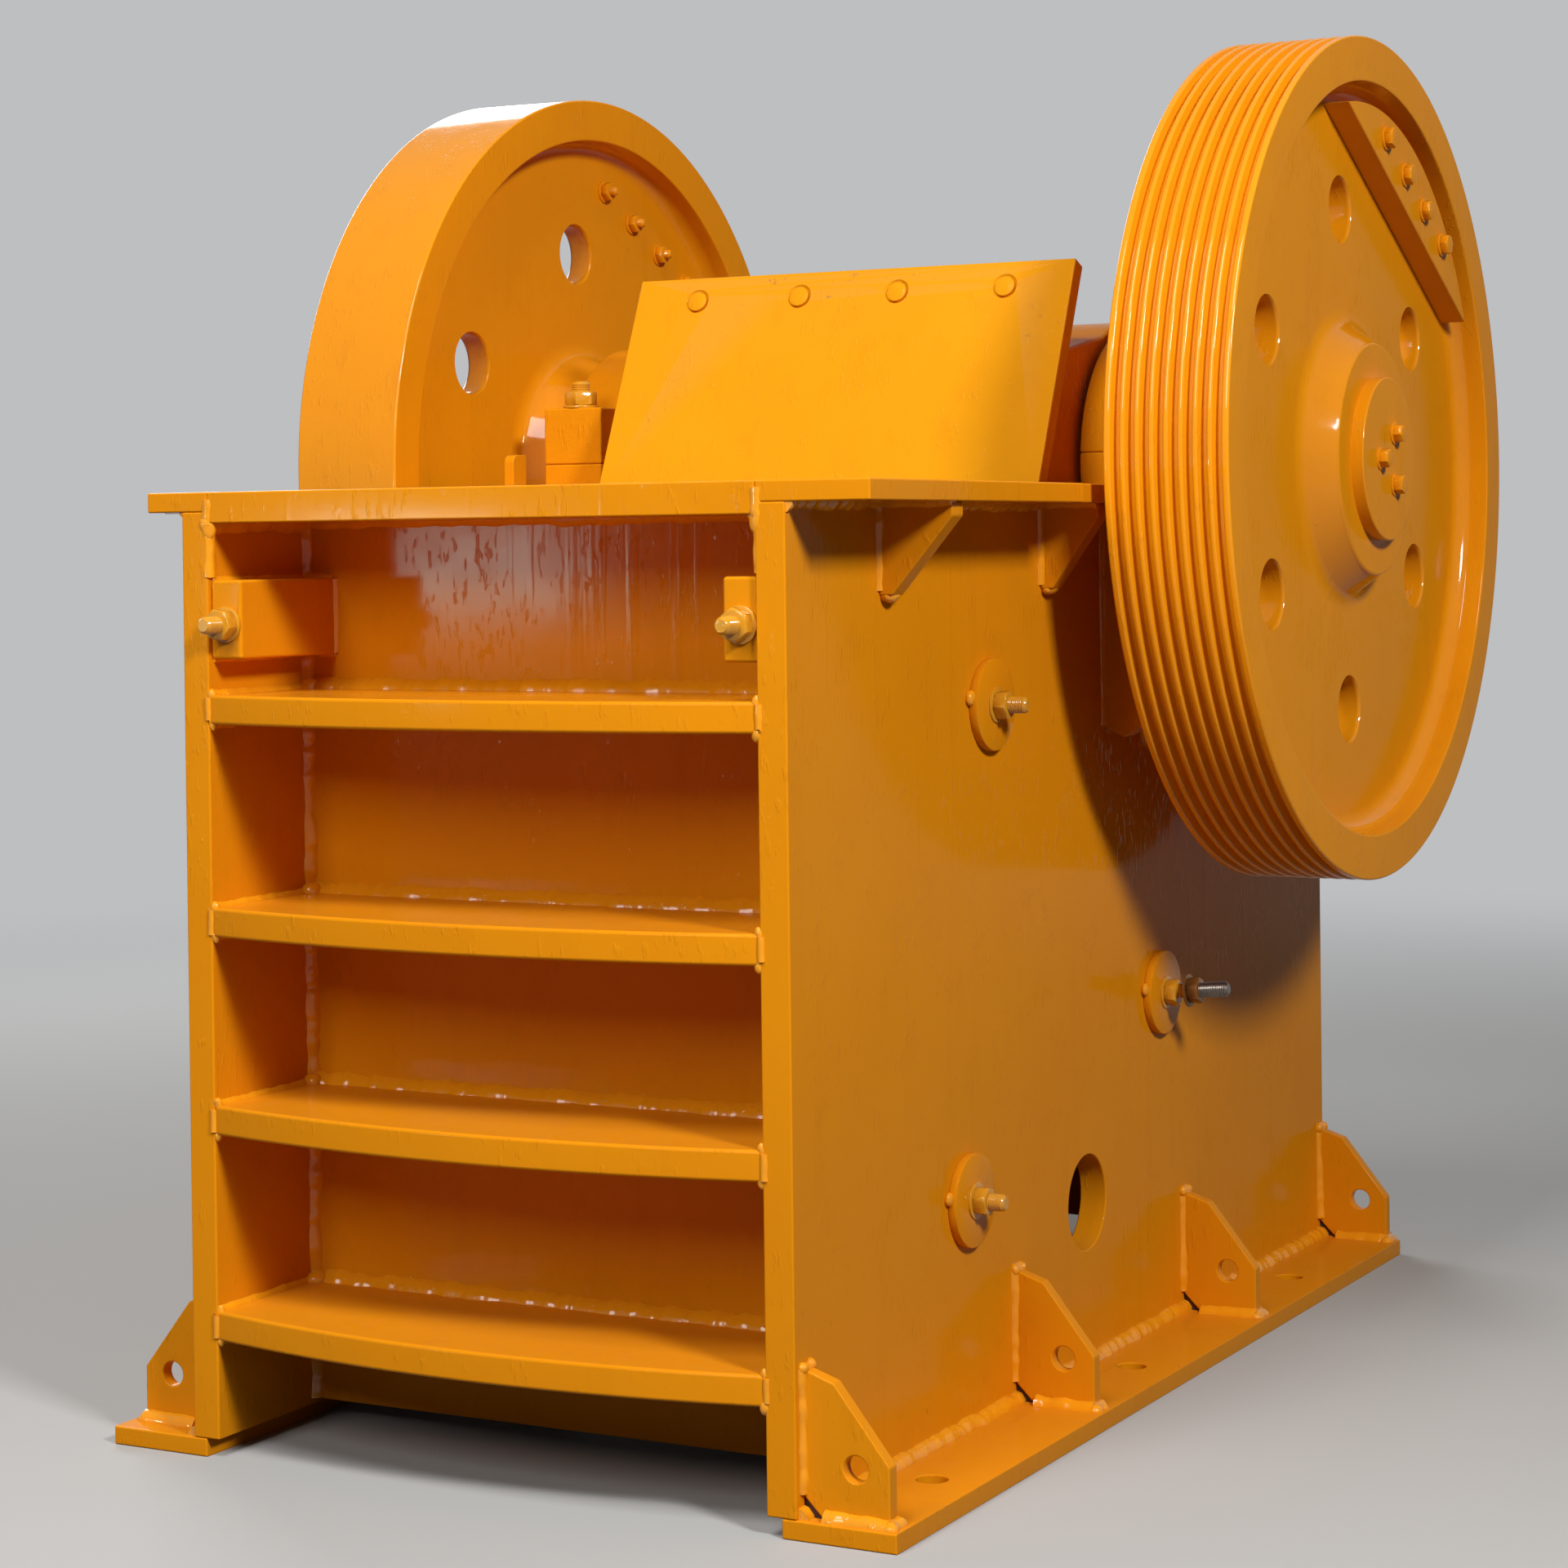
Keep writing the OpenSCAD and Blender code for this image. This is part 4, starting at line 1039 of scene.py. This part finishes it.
guardSet = {
    "across": (-321, -102, 102, 321),
    "upSlope": 403,
    "lean": 23.5,
    "front": 1126,
    "deck": 1553,
    "ring": [(-6, 0), (-6, 21), (0, 25), (4, 27), (4, 0)],
    "head": [(-14, 0), (-14, 17), (-5, 18.5), (-0.5, 19.6), (0.8, 19), (1.6, 17), (1.8, 0)],
}


def makeGuard():
    put = guardSet
    lean = math.radians(put["lean"])
    upSlope = Vector((0, math.sin(lean), math.cos(lean)))
    facing = Vector((0, -math.cos(lean), math.sin(lean)))
    guard = roundedCopy("guard_plate", 3.0, 3)
    cutters = []
    heads = []
    for across in put["across"]:
        spot = at(across, put["front"], put["deck"]) + upSlope * put["upSlope"] / 1000
        cutters.append(moveTo(turned("ringCutter", put["ring"], 40), spot, facing))
        heads.append(moveTo(turned("guardBolt", put["head"], 40), spot, facing))
    cutBy(guard, joinAll(cutters, "ringCutters"))
    smoothFaces(guard, 48)
    dress(guard, guardPaint, "jaw", "guard_paint", "guard_plate")
    boltDone(heads, "guardBolts", guardPaint, "jaw", "guard_paint")


makeGuard()


# Tension spring as a real coil, and the rod with its plate and a thin nut

springSet = {
    "start": 1805,
    "length": 209,
    "up": 345,
    "outer": 130,
    "wire": 18,
    "turns": 6,
}


def makeSpring():
    put = springSet
    startClean()
    ring = (put["outer"] - put["wire"]) / 2000
    wire = put["wire"] / 2000
    bpy.ops.mesh.primitive_circle_add(vertices=12, radius=wire, location=(ring, 0, wire),
                                      rotation=(math.pi / 2, 0, 0))
    coil = setPlace(bpy.context.object)
    pitch = (put["length"] / 1000 - 2 * wire) / put["turns"]
    addModifier(coil, "SCREW", axis="Z", angle=2 * math.pi, screw_offset=pitch, iterations=put["turns"],
                steps=36, render_steps=36, use_merge_vertices=True, merge_threshold=0.00001)
    edit(coil)
    bpy.ops.mesh.select_all(action="DESELECT")
    bpy.ops.mesh.select_non_manifold()
    bpy.ops.mesh.fill_holes(sides=0)
    bpy.ops.mesh.select_all(action="SELECT")
    bpy.ops.mesh.normals_make_consistent(inside=False)
    done()
    coil.name = "tensionSpring"
    moveTo(coil, at(0, put["start"], put["up"]), (0, 1, 0))
    smoothFaces(coil, 50, False)
    dress(coil, springSteel, "frame", "shaft_steel", "tension_spring")


rodSet = {
    "start": 896,
    "plate": 2045,
    "plateThick": 20,
    "end": 2076,
    "nutTall": 10,
    "across": 50,
    "up": 345,
}


def makeRod():
    put = rodSet
    length = put["end"] - put["start"]
    threadFrom = put["plate"] - 150 - put["start"]
    rod = modelStud("rod", put["across"], length, 5, threadFrom)
    moveTo(rod, at(0, put["start"], put["up"]), (0, 1, 0))
    plate = modelWasher("rodPlate", 130, put["across"] + 2, put["plateThick"], 2)
    moveTo(plate, at(0, put["plate"], put["up"]), (0, 1, 0))
    nut = modelNut("rodNut", 75, put["nutTall"])
    moveTo(nut, at(0, put["plate"] + put["plateThick"], put["up"]), (0, 1, 0))
    boltDone([rod, plate, nut], "tensionRod", studSteel, "jaw", "shaft_steel", "tension_rod")


makeSpring()
makeRod()
sayDone("guard, spring and rod done")


# Weld beads: one long rippled bead is modelled, and every seam takes a length of it. Lumps sit where seams
# end. Seams are given for the right side, and side -1 mirrors them to the left

beadSet = {
    "length": 2600,
    "ripple": 4.5,
    "radius": 10,
    "fill": 1.28,
    "sides": 10,
    "ripples": (0.008, 0.0005),
    "lumps": (0.026, 0.0046),
    "wander": (0.080, 0.0036),
    "blobTake": 0.6,
}


def modelBead():
    put = beadSet
    startClean()
    step = put["ripple"] / 1000
    bpy.ops.mesh.primitive_cylinder_add(vertices=put["sides"], radius=put["radius"] / 1000, depth=step,
                                        end_fill_type="NOTHING", location=(0, 0, step / 2))
    bead = setPlace(bpy.context.object)
    bead.name = "beadModel"
    addModifier(bead, "ARRAY", count=int(put["length"] / put["ripple"]), use_relative_offset=False,
                use_constant_offset=True, constant_offset_displace=(0, 0, step), use_merge_vertices=True,
                merge_threshold=0.0001)
    for name, direction in (("ripples", "NORMAL"), ("lumps", "NORMAL"), ("wander", "RGB_TO_XYZ")):
        field = bpy.data.textures.new(name, "CLOUDS")
        field.noise_scale, strength = put[name]
        if direction == "RGB_TO_XYZ":
            field.cloud_type = "COLOR"
        addModifier(bead, "DISPLACE", texture=field, strength=strength, direction=direction, mid_level=0.5,
                    texture_coords="LOCAL")
    return bead


seams = {}  # piece name: list of beads and lumps
seamCount = [0]


def addSeam(piece, side, start, end, openings, leg=9, sink=0.4):
    # a fillet bead in the corner that opens along the two normals, sunk by a share of its leg
    begin, finish = at(*onSide(side, start)), at(*onSide(side, end))
    length = (finish - begin).length
    seamCount[0] += 1
    shift = (seamCount[0] * 0.377) % max(0.05, beadSet["length"] / 1000 - length - 0.01)
    obj = addCopy("bead", beadModel.data)
    editOnly(obj, "vertices", lambda vert: vert.co.z < shift or vert.co.z > shift + length)
    bpy.ops.mesh.delete(type="VERT")
    bpy.ops.mesh.select_non_manifold()
    bpy.ops.mesh.fill_holes(sides=0)
    done()
    scale = leg * beadSet["fill"] / beadSet["radius"]
    obj.data.transform(Matrix.Diagonal((scale, scale, 1, 1)) @ Matrix.Translation((0, 0, -shift)))
    opening = Vector(onSide(side, openings[0])) + Vector(onSide(side, openings[1]))
    centre = begin - opening * leg * sink / 1000
    moveTo(obj, centre, (finish - begin).normalized(), (seamCount[0] * 45) % 360)
    seams.setdefault(piece, []).append(obj)


def addBlob(piece, side, spot, size, flat=(1, 1, 1)):
    # the lump of weld left where a seam starts, stops or turns a corner
    startClean()
    spot = at(*onSide(side, spot))
    bpy.ops.mesh.primitive_ico_sphere_add(subdivisions=3, radius=size / 1000, location=spot, scale=flat)
    blob = setPlace(bpy.context.object)
    addModifier(blob, "DISPLACE", texture=bpy.data.textures["lumps"], mid_level=0.5, texture_coords="GLOBAL",
                strength=size * beadSet["blobTake"] / 1000)
    seams.setdefault(piece, []).append(blob)


def seamsDone(piece):
    obj = joinAll(seams[piece], piece)
    smoothFaces(obj, 60, False)
    dress(obj, weldPaint, "frame", "frame_paint")


beadModel = modelBead()

ribLows = (1180, 839, 521, 190)
ribThick, wallFoot = 48, 38
inFace, wallFace, outFace = 500, 267, 550
topUnder, deckUnder, deckTop = 1503, 1521, 1553
up, down, front, back = (0, 0, 1), (0, 0, -1), (0, -1, 0), (0, 1, 0)
inward, outward, nowhere = (-1, 0, 0), (1, 0, 0), (0, 0, 0)


def weldRibs():
    piece = "ribWelds"
    for low in ribLows:
        top = low + ribThick
        addSeam(piece, 1, (-inFace, wallFace, top), (inFace, wallFace, top), (front, up), 24)
        addSeam(piece, 1, (-inFace, wallFace, low), (inFace, wallFace, low), (front, down), 12)
        for side in (-1, 1):
            for level, opening in ((top, up), (low, down)):
                addSeam(piece, side, (inFace, 4, level), (inFace, wallFace, level), (inward, opening), 10)
                addBlob(piece, side, (inFace - 3, 5, level), 10, (0.8, 0.6, 1.1))
                addBlob(piece, side, (inFace - 10, wallFace - 10, level), 18, (1.1, 1.1, 1))
            addSeam(piece, side, (inFace, 0.5, low + 3), (inFace, 0.5, top - 3), (inward, front), 5)
    seamsDone(piece)


def weldWall():
    piece = "wallWelds"
    blockLow = blockSet["low"]
    blockTop = blockLow + blockSet["tall"]
    blockIn = inFace - blockSet["wide"]
    levels = [topUnder] + [value for low in ribLows for value in (low + ribThick, low)] + [wallFoot]
    for high, low in zip(levels[::2], levels[1::2]):
        for side in (-1, 1):
            addSeam(piece, side, (inFace, wallFace, low), (inFace, wallFace, high), (inward, front), 18)
    addSeam(piece, 1, (-inFace, wallFace, topUnder), (inFace, wallFace, topUnder), (front, down), 13)
    for side in (-1, 1):
        addSeam(piece, side, (inFace, 6, topUnder), (inFace, wallFace, topUnder), (inward, down), 21)
        addBlob(piece, side, (inFace + 1, 7, topUnder - 3), 15, (1.0, 0.6, 1.6))
        addSeam(piece, side, (inFace, 7, blockTop), (inFace, 7, topUnder), (inward, front), 8)
        addSeam(piece, side, (inFace + 1, 0.5, topUnder - 4), (inFace + 1, 0.5, deckTop - 8),
                (front, nowhere), 11, 0.98)
        for level, opening in ((blockLow, down), (blockTop, up)):
            addSeam(piece, side, (inFace, 10, level), (inFace, wallFace, level), (inward, opening), 8)
            addSeam(piece, side, (inFace, wallFace, level), (blockIn, wallFace, level), (front, opening), 8)
        addSeam(piece, side, (blockIn, wallFace, blockLow), (blockIn, wallFace, blockTop), (front, inward), 9)
    seamsDone(piece)


gussetSet = {
    "along": {-1: (58, 813, 1568, 2285), 1: (20, 775, 1530, 2285)},
    "end": 2310,
    "thick": 25,
    "low": 30,
    "tall": 220,
    "reach": 143,
    "cope": 34,
    "slag": (0.046, 0.013, 0.020),
    "slagShadeRough": 0.004,
    "deckAlong": (305, 915),
    "deckReach": (126, 108),
    "deckThick": 40,
    "deckTall": 143,
    "deckEnd": 1245,
    "seatAlong": (1180, 1568, 1900),
    "seat": (1132, 1505),
}


def fillCopeRustShade(side, along):
    # slag and rust in the notch that the bottom welds pass through, in a near-black finish that also paints
    # the notch's shade, so it reads as a dark slit between them
    put = gussetSet
    half = put["cope"] / 2 * 0.9
    startClean()
    spot = at(side * outFace + side * half, along + put["thick"] / 2, put["low"] + half)
    bpy.ops.mesh.primitive_cube_add(size=1, location=spot, rotation=(0, side * math.radians(45), 0),
                                    scale=put["slag"])
    slag = setPlace(bpy.context.object)
    edit(slag)
    bpy.ops.mesh.subdivide(number_cuts=5)
    done()
    addModifier(slag, "DISPLACE", texture=bpy.data.textures["ripples"], strength=put["slagShadeRough"],
                mid_level=0.5, texture_coords="GLOBAL")
    return slag


def weldBaseGusset(piece, side, along):
    put = gussetSet
    low, top = put["low"], put["low"] + put["tall"]
    end = outFace + put["reach"]
    behind = along + put["thick"]
    notch = low + put["cope"]
    for place, opening, turn in ((along, front, -1), (behind, back, 1)):
        addSeam(piece, side, (outFace, place, notch), (outFace, place, top + 2), (outward, opening), 11)
        addSeam(piece, side, (outFace + 36, place, low), (end + 3, place, low), (opening, up), 14, 0.2)
        addBlob(piece, side, (end - 1, place + turn, low), 13, (1.15, 1.15, 0.8))
        addBlob(piece, side, (outFace + 2, place + turn, top), 9, (1.0, 1.0, 1.1))
    addSeam(piece, side, (end, along - 4, low), (end, behind + 4, low), (outward, up), 12, 0.2)
    addSeam(piece, side, (outFace, along - 3, top), (outFace, behind + 3, top), (outward, up), 12)


def weldDeck(piece, side):
    put = gussetSet
    thick = put["deckThick"]
    addSeam(piece, side, (outFace, 2, deckUnder), (outFace, put["deckEnd"], deckUnder), (outward, down), 16)
    foot = deckUnder - put["deckTall"]
    for along, deep in zip(put["deckAlong"], put["deckReach"]):
        for place, opening in ((along, front), (along + thick, back)):
            corner = (outFace, place, deckUnder)
            addSeam(piece, side, (outFace, place, foot + 4), corner, (outward, opening), 10)
            addSeam(piece, side, corner, (outFace + deep, place, deckUnder), (opening, down), 10)
        addBlob(piece, side, (outFace + 8, along + thick / 2, foot - 1), 13, (1.1, 1.5, 0.8))
    low, high = put["seat"]
    for along in put["seatAlong"]:
        for place, opening in ((along, front), (along + thick, back)):
            addSeam(piece, side, (outFace, place, low), (outFace, place, high), (outward, opening), 10)
    seamsDone(piece)


def weldSides():
    put = gussetSet
    low = put["low"]
    for side, word in bothSides:
        piece = word + "BaseWelds"
        addSeam(piece, side, (outFace, 2, low), (outFace, put["end"], low), (outward, up), 15, 0.1)
        slagShades = []
        for along in put["along"][side]:
            weldBaseGusset(piece, side, along)
            slagShades.append(fillCopeRustShade(side, along))
        seamsDone(piece)
        piece = word + "DiscTacks"
        for along, height, *rest in sideBoltSet["places"]:
            # each disc is held by a tack towards the front
            edge = along - sideBoltSet["disc"] / 2
            addBlob(piece, side, (outFace + 4, edge - 1, height + 14), 9, (0.8, 1.3, 1.3))
        seamsDone(piece)
        # the dark slag blocks carry painted shade for the cope slits
        joinAll(slagShades, word + "CopeSlag")
        smoothFaces(slagShades[0], 50, False)
        dress(slagShades[0], rawRust, "frame", "jaw_steel")
        weldDeck(word + "DeckWelds", side)


# The guessed inside: back wall with its stiffeners, beams (front, back, low, high) and the fixed jaw's seat

backSet = {
    "wall": 2204,
    "wallThick": 45,
    "wallLow": 47,
    "wallTop": 1110,
    "end": 2310,
    "stiffeners": (330, 690, 1070),
    "stiffenerThick": 40,
    "toggleBeam": (1385, 1625, 470, 770),
    "springBeam": (1760, 1805, 255, 435),
    "seat": (312, 40, 1480),
}


def weldBack():
    put = backSet
    piece = "backWelds"
    face = put["wall"] + put["wallThick"]
    tops = [low + put["stiffenerThick"] for low in put["stiffeners"]]
    for low, top in zip(put["stiffeners"], tops):
        for level, opening in ((top, up), (low, down)):
            if level == put["wallTop"]:
                continue
            addSeam(piece, 1, (-inFace, face, level), (inFace, face, level), (back, opening), 10)
            for side in (-1, 1):
                addSeam(piece, side, (inFace, face, level), (inFace, put["end"], level), (inward, opening), 9)
    for side in (-1, 1):
        for low, high in zip([put["wallLow"]] + tops, put["stiffeners"]):
            addSeam(piece, side, (inFace, face, low), (inFace, face, high), (inward, back), 10)
        low, high = put["wallLow"], put["wallTop"] - 2
        addSeam(piece, side, (inFace, put["wall"], low), (inFace, put["wall"], high), (inward, front), 9)
        for near, far, low, high in (put["toggleBeam"], put["springBeam"]):
            for along, opening in ((near, front), (far, back)):
                addSeam(piece, side, (inFace, along, low), (inFace, along, high), (inward, opening), 10)
        near, far, low, high = put["toggleBeam"]
        for level, opening in ((low, down), (high, up)):
            addSeam(piece, side, (inFace, near, level), (inFace, far, level), (inward, opening), 10)
        along, low, high = put["seat"]
        addSeam(piece, side, (inFace, along, low), (inFace, along, high), (inward, back), 9)
    seamsDone(piece)


weldRibs()
weldWall()
weldSides()
weldBack()
bpy.data.objects.remove(beadModel)
sayDone("welds done")
